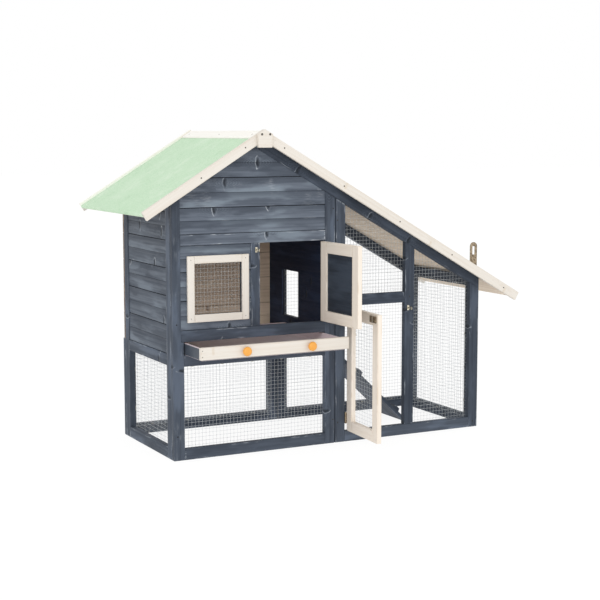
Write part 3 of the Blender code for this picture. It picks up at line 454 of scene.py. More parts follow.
@dataclass(frozen=True)
class Moulded(Finish):
    """Moulded polypropylene: even colour, satin gloss, faint flow marks."""

    name: str
    body: str
    flow: str
    roughness: float = 0.32
    grain_mm: float = 3.0

    def label(self) -> str:
        """The material's name."""
        return self.name

    def dress(self, tree: Tree, shader: bpy.types.Node) -> None:
        """Colour with flow marks and a fine skin."""
        place = add(tree, "TexCoord").outputs["Object"]
        cloud = add(tree, "TexNoise", {"Vector": place, "Scale": 38.0, "Detail": 3.0}).outputs[0]
        colour = mixed(tree, ramp(tree, cloud, 0.4, 0.7, 0.0, 0.7), linear(self.body), linear(self.flow))
        tree.links.new(colour, shader.inputs["Base Color"])
        skin = add(tree, "TexNoise", {"Vector": place, "Scale": 1000 / self.grain_mm,
                                      "Detail": 2.0}).outputs[0]
        tree.links.new(ramp(tree, cloud, 0.3, 0.7, self.roughness, self.roughness + 0.1),
                       shader.inputs["Roughness"])
        bump = add(tree, "Bump", {"Height": skin, "Strength": 0.12, "Distance": 0.2 * MM})
        tree.links.new(bump.outputs[0], shader.inputs["Normal"])


ORANGE = Moulded("moulded_orange_plastic", "#EBA648", "#E2983A", 0.30)
TRAY_SHEET = Moulded("pressed_taupe_sheet", "#E2D2D6", "#EADBDE", 0.30)
TRAY_SIDE = Moulded("pressed_grey_sheet_side", "#3F4650", "#4A515B", 0.40)


# ---- meshes ------------------------------------------------------------------------------
class Workshop:
    """Turns shapes into named pieces that ride on the frame's bodies."""

    def piece(self, name: str, shape: Shape, finish: Finish | Sequence[Finish],
              body: str = "hutch", replaces: Iterable[str] = (), smooth: float = 35.0,
              turn: Optional[Matrix] = None) -> bpy.types.Object:
        """Make a piece from a mesh.

        Args:
            name: the piece's name.
            shape: the mesh, in the frame's coordinates, freed here.
            finish: its finish, or one for each material number its faces use.
            body: the body it rides on.
            replaces: the frame's nodes that it stands for.
            smooth: edges sharper than this many degrees stay hard.
            turn: a move made to the mesh first.
        Returns:
            The object.
        """
        if turn is not None:
            bmesh.ops.transform(shape, verts=shape.verts, matrix=turn)
        bmesh.ops.recalc_face_normals(shape, faces=shape.faces)
        mesh = bpy.data.meshes.new(name)
        shape.to_mesh(mesh)
        shape.free()
        mesh.shade_smooth()
        mesh.set_sharp_from_angle(angle=radians(smooth))
        made = bpy.data.objects.new(name, mesh)
        bpy.context.scene.collection.objects.link(made)
        for item in (finish if isinstance(finish, (list, tuple)) else [finish]):
            mesh.materials.append(item.material())
        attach(made, body)
        if replaces:
            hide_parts(*replaces)
        log.info("%s: %d faces on %s", name, len(mesh.polygons), body)
        return made


SHOP = Workshop()
SLOT_GREY = "grey_stained_wood"
SLOT_DARK = "dark_stained_wood"


LEAST_FACE_MM2 = 120    # a smaller face is all edge, and rubs all over
BROAD_FACE_MM2 = 400    # a face this large that no band fits on hardly rubs
BROAD_WEAR = 0.2


def eased(shape: Shape, round_mm: float = 1.2, band_mm: float = 5.0) -> Shape:
    """Break a timber's sharp edges and mark the band beside them that rubs.

    Args:
        shape: a mesh of flat faces.
        round_mm: the width of the broken edge.
        band_mm: the width of the band that wears.
    Returns:
        The same mesh.
    """
    sharp = [e for e in shape.edges if len(e.link_faces) == 2 and e.calc_face_angle(0.0) > radians(20)]
    bmesh.ops.bevel(shape, geom=sharp, offset=round_mm * MM, segments=2, profile=0.6, affect="EDGES",
                    clamp_overlap=True)
    wear = shape.verts.layers.float.new("wear")
    for vertex in shape.verts:
        vertex[wear] = 1.0
    wide = [f for f in shape.faces if f.calc_area() > LEAST_FACE_MM2 * MM * MM and
            min(e.calc_length() for e in f.edges) > 2 * band_mm * MM]
    if wide:
        bmesh.ops.inset_individual(shape, faces=wide, thickness=band_mm * MM, use_even_offset=True)
        for face in wide:
            for vertex in face.verts:
                vertex[wear] = 0.0
    for face in shape.faces:
        if face.calc_area() > BROAD_FACE_MM2 * MM * MM and all(vertex[wear] == 1.0 for vertex in face.verts):
            for vertex in face.verts:
                vertex[wear] = BROAD_WEAR
    return shape


def from_node(node: str, whole: bool = True) -> Shape:
    """A frame node's own shape, with its flat faces whole unless they have holes in them."""
    shape = bmesh.new()
    shape.from_mesh(frame["nodes"][node].data)
    bmesh.ops.remove_doubles(shape, verts=shape.verts, dist=0.01 * MM)
    if whole:
        bmesh.ops.dissolve_limit(shape, angle_limit=radians(1.0), verts=shape.verts, edges=shape.edges)
    return shape


def block(low: Sequence[float], high: Sequence[float]) -> Shape:
    """A rectangular block between two corners."""
    shape = bmesh.new()
    middle = [(a + b) / 2 for a, b in zip(low, high)]
    size = [b - a for a, b in zip(low, high)]
    bmesh.ops.create_cube(shape, size=1.0, matrix=Matrix.Translation(middle) @ Matrix.Diagonal((*size, 1.0)))
    return shape


def box_of(corners: Sequence[Vector]) -> Shape:
    """A six-sided solid from its eight corners: four round one end, then the four opposite them."""
    shape = bmesh.new()
    verts = [shape.verts.new(c) for c in corners]
    for face in ((0, 1, 2, 3), (7, 6, 5, 4), (0, 4, 5, 1), (1, 5, 6, 2), (2, 6, 7, 3), (3, 7, 4, 0)):
        shape.faces.new([verts[i] for i in face])
    return shape


def prism(outline: Sequence[Point], near: float, far: float, place: Callable) -> Shape:
    """Extrude an outline square to its plane.

    Args:
        outline: points in the plane.
        near: where it starts, square to the plane.
        far: where it ends.
        place: turns (across, up, depth) into a point.
    Returns:
        The mesh.
    """
    shape = bmesh.new()
    rings = [[shape.verts.new(place(a, b, depth)) for a, b in outline] for depth in (near, far)]
    shape.faces.new(rings[0])
    shape.faces.new(list(reversed(rings[1])))
    count = len(outline)
    for k in range(count):
        after = (k + 1) % count
        shape.faces.new((rings[0][k], rings[1][k], rings[1][after], rings[0][after]))
    return shape


def on_front(across: float, up: float, depth: float) -> Vector:
    """A point on the front's plane."""
    return Vector((across, depth, up))


def lathe(profile: Sequence[Point], start: Sequence[float], direction: Sequence[float],
          sides: int = 24) -> Shape:
    """A turned solid.

    Args:
        profile: (radius, distance along the axis), end to end; a radius of 0 closes an end.
        start: the axis's first point.
        direction: the way the axis points.
        sides: how many sides.
    Returns:
        The mesh.
    """
    shape = bmesh.new()
    aim = Vector((0, 0, 1)).rotation_difference(Vector(direction)).to_matrix().to_4x4()
    place = Matrix.Translation(start) @ aim
    rings = []
    for radius, station in profile:
        if radius <= 0:
            rings.append([shape.verts.new(place @ Vector((0, 0, station)))])
            continue
        rings.append([shape.verts.new(place @ Vector((radius * cos(2 * pi * k / sides),
                                                      radius * sin(2 * pi * k / sides), station)))
                      for k in range(sides)])
    for lower, upper in zip(rings, rings[1:]):
        for k in range(sides):
            after = (k + 1) % sides
            corners = [lower[k % len(lower)], lower[after % len(lower)],
                       upper[after % len(upper)], upper[k % len(upper)]]
            unique = list(dict.fromkeys(corners))
            if len(unique) > 2:
                shape.faces.new(unique)
    for ring in (rings[0], rings[-1]):
        if len(ring) > 1:
            shape.faces.new(ring)
    return shape


def merged(shapes: Iterable[Shape]) -> Shape:
    """Put several meshes in one, side by side."""
    whole = bmesh.new()
    for shape in shapes:
        mesh = bpy.data.meshes.new("part")
        shape.to_mesh(mesh)
        shape.free()
        whole.from_mesh(mesh)
        bpy.data.meshes.remove(mesh)
    return whole


def screw_head(centre: Sequence[float], out: Sequence[float], radius_mm: float = 2.6) -> Shape:
    """A countersunk cross-head screw: a shallow dome with a cross pressed into it."""
    r = radius_mm * MM
    return lathe([(r, -0.6 * MM), (r, 0.0), (r * 0.8, 0.35 * MM), (r * 0.35, 0.45 * MM),
                  (r * 0.22, -0.25 * MM), (0.0, -0.3 * MM)], centre, out, 16)


def screws(name: str, centres: Iterable[Sequence[float]], out: Sequence[float], body: str = "hutch",
           radius_mm: float = 2.6, finish: Finish = BLACK_SCREW,
           turn: Optional[Matrix] = None) -> bpy.types.Object:
    """A set of screw heads as one piece.

    Args:
        name: the piece's name.
        centres: where each head meets its surface.
        out: the way the heads face.
        body: the body they ride on.
        radius_mm: a head's radius.
        finish: their finish.
        turn: a move made to the mesh first.
    Returns:
        The piece.
    """
    shape = merged(screw_head(centre, out, radius_mm) for centre in centres)
    return SHOP.piece(name, shape, finish, body, turn=turn)


# ---- the frame's own sizes ---------------------------------------------------------------
def low(node: str) -> Vector:
    """A node's lowest corner."""
    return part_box(node)[0]


def high(node: str) -> Vector:
    """A node's highest corner."""
    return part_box(node)[1]


def joint(name: str) -> dict:
    """A joint of the record, by name."""
    return next(j for j in frame["joints"] if j["name"] == name)


def swing(name: str, degrees: float) -> Matrix:
    """A turn about a hinge's axis, in degrees, by the right-hand rule."""
    hinge = joint(name)
    pivot = Vector(hinge["pos_m"])
    return (Matrix.Translation(pivot) @ Matrix.Rotation(radians(degrees), 4, Vector(hinge["axis"]))
            @ Matrix.Translation(-pivot))


def shut_box(node: str, name: str) -> tuple[Vector, Vector]:
    """A door piece's corners with its door shut."""
    turn = swing(name, joint(name)["range_deg"][1])
    points = [turn @ v.co for v in frame["nodes"][node].data.vertices]
    return (Vector([min(p[i] for p in points) for i in range(3)]),
            Vector([max(p[i] for p in points) for i in range(3)]))


POST = high("house_sill").z
BOARD = high("house_sill").y - low("house_sill").y
FRONT = low("house_sill").y
LEFT = low("house_post_left").x
GAP = 0.3 * MM


@dataclass
class Timbers:
    """Posts, rails and rakes: each a length of stained pine with eased, rubbed edges."""

    posts: dict = field(default_factory=lambda: {
        "house_post_left": Along.Z, "house_post_right": Along.Z, "house_sill": Along.X,
        "tray_rail": Along.X, "floor_rail": Along.X, "mullion": Along.Z,
        "run_post_left": Along.Z, "run_sill": Along.X})
    grey: dict = field(default_factory=lambda: {"house_lintel": Along.X})
    dark: dict = field(default_factory=lambda: {
        "front_rake": Along.RIGHT_SLOPE, "run_post_middle": Along.Z, "run_post_right": Along.Z,
        "run_rail": Along.X})

    def build(self) -> None:
        """Build every single timber."""
        for timbers, tint, slot in ((self.posts, POSTS, SLOT_GREY), (self.grey, {}, SLOT_GREY),
                                    (self.dark, DARK, SLOT_DARK)):
            for node, along in timbers.items():
                SHOP.piece(f"{node}_timber", eased(from_node(node)), StainedPine(along, **tint),
                           replaces=[node])


@dataclass
class Frames:
    """The framed sides: posts with rails between them, butted and screwed."""

    def member(self, name: str, low_corner: Sequence[float], high_corner: Sequence[float], along: Along,
               dark: bool) -> bpy.types.Object:
        """One timber of a frame, as a piece.

        Args:
            name: the piece's name.
            low_corner: its lowest corner.
            high_corner: its highest corner.
            along: its grain.
            dark: whether it has the darker stain.
        Returns:
            The piece.
        """
        return SHOP.piece(name, eased(block(low_corner, high_corner)), StainedPine(along,
                                                                                   **(DARK if dark else POSTS)))

    def side(self, node: str, rails: dict[str, tuple[float, float]], dark: bool) -> None:
        """A side frame in the plane of X: two posts and its rails.

        Args:
            node: the frame's node.
            rails: rail name to its bottom and top.
            dark: whether it has the darker stain.
        """
        bottom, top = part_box(node)
        right = min(top.x, bottom.x + BOARD)
        if node == "right_frame":
            bottom, right = Vector((top.x - BOARD, bottom.y, bottom.z)), top.x
        for name, start in (("front", bottom.y), ("back", top.y - POST)):
            self.member(f"{node}_{name}_post", (bottom.x, start, bottom.z),
                                    (right, start + POST, top.z), Along.Z, dark)
        for name, (under, over) in rails.items():
            self.member(f"{node}_{name}", (bottom.x, bottom.y + POST + GAP, under),
                                    (right, top.y - POST - GAP, over), Along.Y, dark)
        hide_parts(node)

    def build(self) -> None:
        """Build the left, right and back frames and the doorway rail."""
        rail_top = high("tray_rail").z
        self.side("left_frame", {"bottom_rail": (0.0, POST), "middle_rail": (rail_top - POST, rail_top)},
                  False)
        runner_low = (low("left_frame").x + BOARD + GAP, low("left_frame").y, rail_top - POST)
        self.member("left_tray_runner", runner_low, (high("left_frame").x, high("left_frame").y, rail_top),
                    Along.Y, True)
        side_top = high("right_frame").z
        self.side("right_frame", {"bottom_rail": (0.0, POST), "top_rail": (side_top - POST, side_top)}, True)
        self.doorway_rail(rail_top)
        self.back_house(rail_top)
        self.back_run()

    def doorway_rail(self, rail_top: float) -> None:
        """The rail under the doorway: a runner for the tray and a kerb for the ramp."""
        bottom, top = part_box("doorway_rail")
        kerb_x = high("doorway_wall").x + GAP
        kerb = self.member("doorway_kerb", (kerb_x, bottom.y, rail_top + GAP), top, Along.Y, True)
        self.member("right_tray_runner", bottom, (top.x, top.y, rail_top), Along.Y, True)
        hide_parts("doorway_rail")

    def back_house(self, rail_top: float) -> None:
        """The frame behind the pen."""
        bottom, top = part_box("back_house_frame")
        first = None
        for name, start in (("left", bottom.x), ("right", top.x - POST)):
            post = self.member(f"pen_back_{name}_post", (start, bottom.y, bottom.z),
                               (start + POST, top.y, top.z), Along.Z, True)
            first = first or post
        for name, under in (("sill", 0.0), ("rail", rail_top - POST)):
            self.member(f"pen_back_{name}", (bottom.x + POST + GAP, bottom.y, under),
                        (top.x - POST - GAP, top.y, under + POST), Along.X, True)
        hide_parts("back_house_frame")

    def back_run(self) -> None:
        """The frame behind the run, under the long slope."""
        bottom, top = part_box("back_run_frame")

        def rake_under(x: float) -> float:
            """Where the rake's underside is at x."""
            return SLOPES.height(x, SLOPES.frame_top + POST)
        first = None
        for name, start in (("left", bottom.x), ("right", top.x - POST)):
            end = start + POST
            outline = [(start, 0.0), (end, 0.0), (end, rake_under(end) - GAP), (start,
                                                                                rake_under(start) - GAP)]
            shape = eased(prism(outline, bottom.y, top.y, on_front))
            post = SHOP.piece(f"run_back_{name}_post", shape, StainedPine(Along.Z, **DARK))
            first = first or post
        self.member("run_back_sill", (bottom.x + POST + GAP, bottom.y, 0.0),
                    (top.x - POST - GAP, top.y, POST), Along.X, True)
        outline = [(bottom.x, rake_under(bottom.x)), (top.x, rake_under(top.x)),
                   (top.x, SLOPES.height(top.x, SLOPES.frame_top)),
                   (bottom.x, SLOPES.height(bottom.x, SLOPES.frame_top))]
        SHOP.piece("run_back_rake", eased(prism(outline, bottom.y, top.y, on_front)),
                   StainedPine(Along.RIGHT_SLOPE, **DARK))
        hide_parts("back_run_frame")


@dataclass
class Slopes:
    """The two roof slopes, read from the bargeboards' corners."""

    apex_x: float = 0.0
    apex_z: float = 0.0
    left: float = 0.0
    right: float = 0.0
    frame_top: float = 0.0

    def __post_init__(self) -> None:
        """Find the apex and both slopes."""
        self.apex_x = high("front_fascia_left").x + GAP / 2
        self.apex_z = high("front_fascia_left").z
        for side, node in (("left", "front_fascia_left"), ("right", "front_fascia_right")):
            points = [v.co for v in frame["nodes"][node].data.vertices]
            tip = (min if side == "left" else max)(points, key=lambda p: (p.x, p.z))
            setattr(self, side, (self.apex_z - tip.z) / abs(tip.x - self.apex_x))
        post = high("house_post_left")
        self.frame_top = ((self.apex_z - self.left * (self.apex_x - low("house_post_left").x)) -
                          min(v.co.z for v in frame["nodes"]["house_post_left"].data.vertices
                              if v.co.z > post.z * 0.9)) / hypot(1.0, self.left)

    def height(self, x: float, below: float) -> float:
        """Height at x of the line this far below the bargeboards' top, square to the slope."""
        slope = self.left if x < self.apex_x else self.right
        return self.apex_z - slope * abs(x - self.apex_x) - below * hypot(1.0, slope)


SLOPES = Slopes()


# ---- boards ------------------------------------------------------------------------------
class Plane(Enum):
    """The plane a wall lies in, and how its own axes map to the frame's."""

    FRONT = ("x", "z", "y")
    SIDE = ("y", "z", "x")

    def point(self, across: float, up: float, depth: float) -> Vector:
        """A point of this plane in the frame's axes."""
        return Vector((across, depth, up)) if self is Plane.FRONT else Vector((depth, across, up))

    def flat(self, point: Vector) -> Point:
        """A point's place in this plane."""
        return (point.x, point.z) if self is Plane.FRONT else (point.y, point.z)

    def depth(self, point: Vector) -> float:
        """A point's distance square to this plane."""
        return point.y if self is Plane.FRONT else point.x

    def grain(self) -> Along:
        """The grain of boards laid level in this plane."""
        return Along.X if self is Plane.FRONT else Along.Y


def hull(points: Iterable[Point]) -> list[Point]:
    """The convex outline round some points, anticlockwise."""
    ordered = sorted({(round(a, 6), round(b, 6)) for a, b in points})

    def half(run: Sequence[Point]) -> list[Point]:
        """One side of the outline."""
        kept: list[Point] = []
        for p in run:
            while len(kept) > 1 and ((kept[-1][0] - kept[-2][0]) * (p[1] - kept[-2][1]) -
                                     (kept[-1][1] - kept[-2][1]) * (p[0] - kept[-2][0])) <= 1e-9:
                kept.pop()
            kept.append(p)
        return kept[:-1]
    return half(ordered) + half(ordered[::-1])


def clipped(loop: list[Point], keep: Callable[[Point], float]) -> list[Point]:
    """The part of a convex loop where keep(point) isn't negative."""
    out: list[Point] = []
    for here, there in zip(loop, loop[1:] + loop[:1]):
        a, b = keep(here), keep(there)
        if a >= 0:
            out.append(here)
        if a * b < 0:
            t = a / (a - b)
            out.append((here[0] + t * (there[0] - here[0]), here[1] + t * (there[1] - here[1])))
    return out


def node_outline(node: str, plane: Plane, turn: Optional[Matrix] = None) -> list[Point]:
    """A node's convex outline in a plane, after a turn."""
    return hull(plane.flat(turn @ v.co if turn else v.co) for v in frame["nodes"][node].data.vertices)


@dataclass
class Shiplap:
    """A wall of shiplap boards: a dark open joint at each lap and a shallow groove down each board."""

    node: str
    plane: Plane
    joints: Sequence[float]             # heights of the laps
    hole: Optional[tuple[float, float, float, float]] = None
    stain: dict = field(default_factory=dict)   # colours in place of the usual stain's
    bare: bool = False
    lining: Optional[dict] = None               # the stain of boards on the other face
    joint_mm: float = 2.6
    groove_mm: float = 0.9
    lap_mm: float = 4.0                 # thickness left behind a joint

    def finish(self) -> Finish:
        """What the boards are finished with."""
        if self.bare:
            # painted light: the inner boards are drawn paler than bare pine's own tan, for the light falling
            # inside through the window
            return BarePine(self.plane.grain(), body="#D6C0AB", line="#C4AD97")
        return StainedPine(self.plane.grain(), **self.stain)

    def build(self) -> None:
        """Build a core and the boards on its face, or on both faces of a lined wall."""
        bottom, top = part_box(self.node)
        face, rear = self.plane.depth(bottom), self.plane.depth(top)
        outline = node_outline(self.node, self.plane)
        lap, shell = rear - self.lap_mm * MM, rear
        if self.lining is not None:
            third = (rear - face) / 3
            lap, shell = face + third, rear - third
            self.boards("lining", rear, shell, outline, StainedPine(self.plane.grain(), **self.lining))
        behind = [prism(part, lap, shell, self.plane.point) for part in self.around(outline)]
        inside = outline
        if self.lining is not None:
            inside = clipped(outline, lambda p: p[0] - (LEFT + BOARD + GAP))
            edge = clipped(outline, lambda p: LEFT + BOARD - p[0])
            behind += [prism(edge, face, lap, self.plane.point)]
        backing = SHOP.piece(f"{self.node}_laps", merged(behind), self.backing())
        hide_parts(self.node)
        self.boards("board", face, lap, inside, self.finish())

    def boards(self, label: str, face: float, lap: float, outline: list[Point], finish: Finish) -> None:
        """Build one face's boards, each in two strips with a groove between them.

        Args:
            label: what the pieces are called.
            face: the depth of the good face.
            lap: the depth of its back.
            outline: the wall's outline.
            finish: the boards' finish.
        """
        bottom, top = min(p[1] for p in outline), max(p[1] for p in outline)
        levels = [bottom, *[z for z in self.joints if bottom < z < top], top]
        for number, (under, over) in enumerate(zip(levels, levels[1:]), 1):
            middle = (under + over) / 2
            wide, thin = self.joint_mm / 2 * MM, self.groove_mm / 2 * MM
            strips = [(under + wide, middle - thin), (middle + thin, over - wide)] if over - under > 0.06 \
                else [(under + wide, over - wide)]
            shapes = []
            for low_z, high_z in strips:
                band = clipped(clipped(outline, lambda p, z=low_z: p[1] - z), lambda p, z=high_z: z - p[1])
                for part in self.around(band):
                    if len(part) > 2 and self.area(part) > 30 * MM * MM:
                        shape = eased(prism(part, face, lap, self.plane.point), 0.9, 4.0)
                        # painted shade: a share from 0 at a strip's bottom to 1 at its top, which the stain
                        # darkens as the lap's shadow
                        painted_lap_shade = shape.verts.layers.float.new("painted_lap_shade")
                        for vertex in shape.verts:
                            vertex[painted_lap_shade] = min(1.0, max(0.0, (vertex.co.z - low_z) / (high_z - low_z)))
                        shapes.append(shape)
            if shapes:
                SHOP.piece(f"{self.node}_{label}_{number}", merged(shapes), finish)

    def backing(self) -> Finish:
        """The shaded wood seen down a joint."""
        if self.bare:
            return BarePine(self.plane.grain(), body="#8A7460", line="#6B5848")
        return StainedPine(self.plane.grain(), **JOINT)

    @staticmethod
    def area(loop: Sequence[Point]) -> float:
        """A loop's area."""
        return abs(0.5 * sum(a[0] * b[1] - b[0] * a[1] for a, b in zip(loop, list(loop[1:]) + [loop[0]])))

    def around(self, loop: list[Point]) -> list[list[Point]]:
        """A loop cut into parts that stay clear of the hole."""
        if self.hole is None or len(loop) < 3:
            return [loop] if len(loop) > 2 else []
        left, under, right, over = self.hole
        parts = [clipped(loop, lambda p: under - p[1]), clipped(loop, lambda p: p[1] - over)]
        level = clipped(clipped(loop, lambda p: p[1] - under), lambda p: over - p[1])
        parts += [clipped(level, lambda p: left - p[0]), clipped(level, lambda p: p[0] - right)]
        return [p for p in parts if len(p) > 2 and self.area(p) > 1e-6]


@dataclass
class Meshwork:
    """Half-inch welded wire mesh stapled behind its frames."""

    pitch_mm: float = 12.9
    wire_mm: float = 0.75
    crossing_mm: float = 0.75       # how far the level wires lie behind the upright ones
    staple_every_mm: float = 110.0

    def wire(self, start: Vector, end: Vector) -> Shape:
        """One straight galvanised wire."""
        radius = self.wire_mm / 2 * MM
        return lathe([(radius, 0.0), (radius, (end - start).length)], start, end - start, 6)

    def sheet(self, node: str, plane: Plane, body: str = "hutch", turn: Optional[Matrix] = None,
              staples_toward: float = 0.0) -> None:
        """Fill a node's outline with wires.

        Args:
            node: the lattice node.
            plane: the plane it lies in, after the turn.
            body: the body it rides on.
            turn: brings the node into the plane, and is undone afterwards.
            staples_toward: +1 or -1 for the side the staples are on, 0 for none.
        """
        outline = node_outline(node, plane, turn)
        depths = [plane.depth(turn @ v.co if turn else v.co) for v in frame["nodes"][node].data.vertices]
        middle = (min(depths) + max(depths)) / 2
        edge = self.wire_mm / 2 * MM
        shapes = []
        for axis, shift in ((0, -self.crossing_mm / 2 * MM), (1, self.crossing_mm / 2 * MM)):
            low_end, high_end = min(p[axis] for p in outline) + edge, max(p[axis] for p in outline) - edge
            count = max(1, round((high_end - low_end) / (self.pitch_mm * MM)))
            for k in range(count + 1):
                at = low_end + (high_end - low_end) * k / count
                ends = self.crossings(outline, axis, at)
                if ends is None:
                    continue
                first, last = ends[0] + edge, ends[1] - edge
                if last - first < 4 * edge:
                    continue
                pair = [(at, s) if axis == 0 else (s, at) for s in (first, last)]
                shapes.append(self.wire(*(plane.point(*p, middle + shift) for p in pair)))
        back = turn.inverted() if turn else None
        SHOP.piece(f"{node}_wires", merged(shapes), GALVANISED, body, [node], 60.0, back)
        if staples_toward:
            self.staples(node, plane, outline, middle + staples_toward * self.wire_mm * 1.4 * MM, body, back)

    def staples(self, node: str, plane: Plane, outline: list[Point], depth: float, body: str,
                back: Optional[Matrix]) -> None:
        """Small wire staples along the mesh's edges."""
        shapes = []
        for start, end in zip(outline, outline[1:] + outline[:1]):
            run = Vector((end[0] - start[0], end[1] - start[1]))
            count = int(run.length / (self.staple_every_mm * MM))
            inward = Vector((-run.y, run.x)).normalized() * 4.5 * MM
            for k in range(count):
                at = Vector(start) + run * ((k + 0.5) / count) + inward
                half = run.normalized() * 4.0 * MM
                a, b = at - half, at + half
                shapes.append(lathe([(0.7 * MM, 0.0), (0.7 * MM, (b - a).length)], plane.point(a.x, a.y,
                                                                                               depth),
                                    plane.point(b.x, b.y, depth) - plane.point(a.x, a.y, depth), 6))
        if shapes:
            SHOP.piece(f"{node}_staples", merged(shapes), NICKELLED, body, (), 60.0, back)

    @staticmethod
    def crossings(outline: list[Point], axis: int, at: float) -> Optional[tuple[float, float]]:
        """Where a straight line at one coordinate enters and leaves a convex outline."""
        other, found = 1 - axis, []
        for here, there in zip(outline, outline[1:] + outline[:1]):
            a, b = here[axis] - at, there[axis] - at
            if a == b:
                continue
            t = a / (a - b)
            if -1e-9 <= t <= 1 + 1e-9:
                found.append(here[other] + t * (there[other] - here[other]))
        return (min(found), max(found)) if len(found) > 1 else None

    def build(self) -> None:
        """Build every sheet of mesh."""
        for node in ("pen_front_mesh", "run_door_side_mesh", "run_front_mesh", "window_mesh"):
            self.sheet(node, Plane.FRONT, staples_toward=1)
        for node in ("pen_back_mesh", "run_back_mesh"):
            self.sheet(node, Plane.FRONT, staples_toward=-1)
        self.sheet("pen_left_mesh", Plane.SIDE, staples_toward=1)
        self.sheet("run_right_mesh", Plane.SIDE, staples_toward=-1)
        angle = joint("run_door_hinge")["range_deg"][1]
        self.sheet("run_door_mesh", Plane.FRONT, "run_door", swing("run_door_hinge", angle), 1)


# ---- the window, the roof ----------------------------------------------------------------
def four_members(name: str, low_corner: Vector, high_corner: Vector, width: float, stile: Finish, rail: Finish,
                  body: str = "hutch", turn: Optional[Matrix] = None,
                 replaces: Sequence[str] = ()) -> None:
    """A frame of two stiles with two rails butted between them, in a front plane.

    Args:
        name: the start of each piece's name.
        low_corner: the frame's lowest corner.
        high_corner: its highest corner.
        width: the width of its members.
        stile: the upright members' finish.
        rail: the level members' finish.
        body: the body they ride on.
        turn: a move made to each mesh first.
        replaces: the nodes that the first member stands for.
    """
    a, b, seam = low_corner, high_corner, 0.25 * MM
    spans = {"stile_left": ((a.x, a.z), (a.x + width, b.z)), "stile_right": ((b.x - width, a.z), (b.x, b.z)),
             "rail_bottom": ((a.x + width + seam, a.z), (b.x - width - seam, a.z + width)),
             "rail_top": ((a.x + width + seam, b.z - width), (b.x - width - seam, b.z))}
    for number, (part, (under, over)) in enumerate(spans.items()):
        shape = eased(block((under[0], a.y, under[1]), (over[0], b.y, over[1])), 1.0, 4.0)
        SHOP.piece(f"{name}_{part}", shape, stile if "stile" in part else rail, body,
                   replaces if number == 0 else (), turn=turn)


@dataclass
class Window:
    """The cream trim round the meshed window."""

    width: float = 25 * MM

    def build(self) -> None:
        """Build the four trim boards and their pins."""
        a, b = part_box("window_frame")
        four_members("window_trim", a, b, self.width, PaintedPine(Along.Z), PaintedPine(Along.X),
                     replaces=["window_frame"])
        half = self.width / 2
        pins = [(x, a.y, z) for x in (a.x + half, b.x - half) for z in (a.z + half, b.z - half)]
        screws("window_trim_pins", pins, (0, -1, 0), radius_mm=1.3)


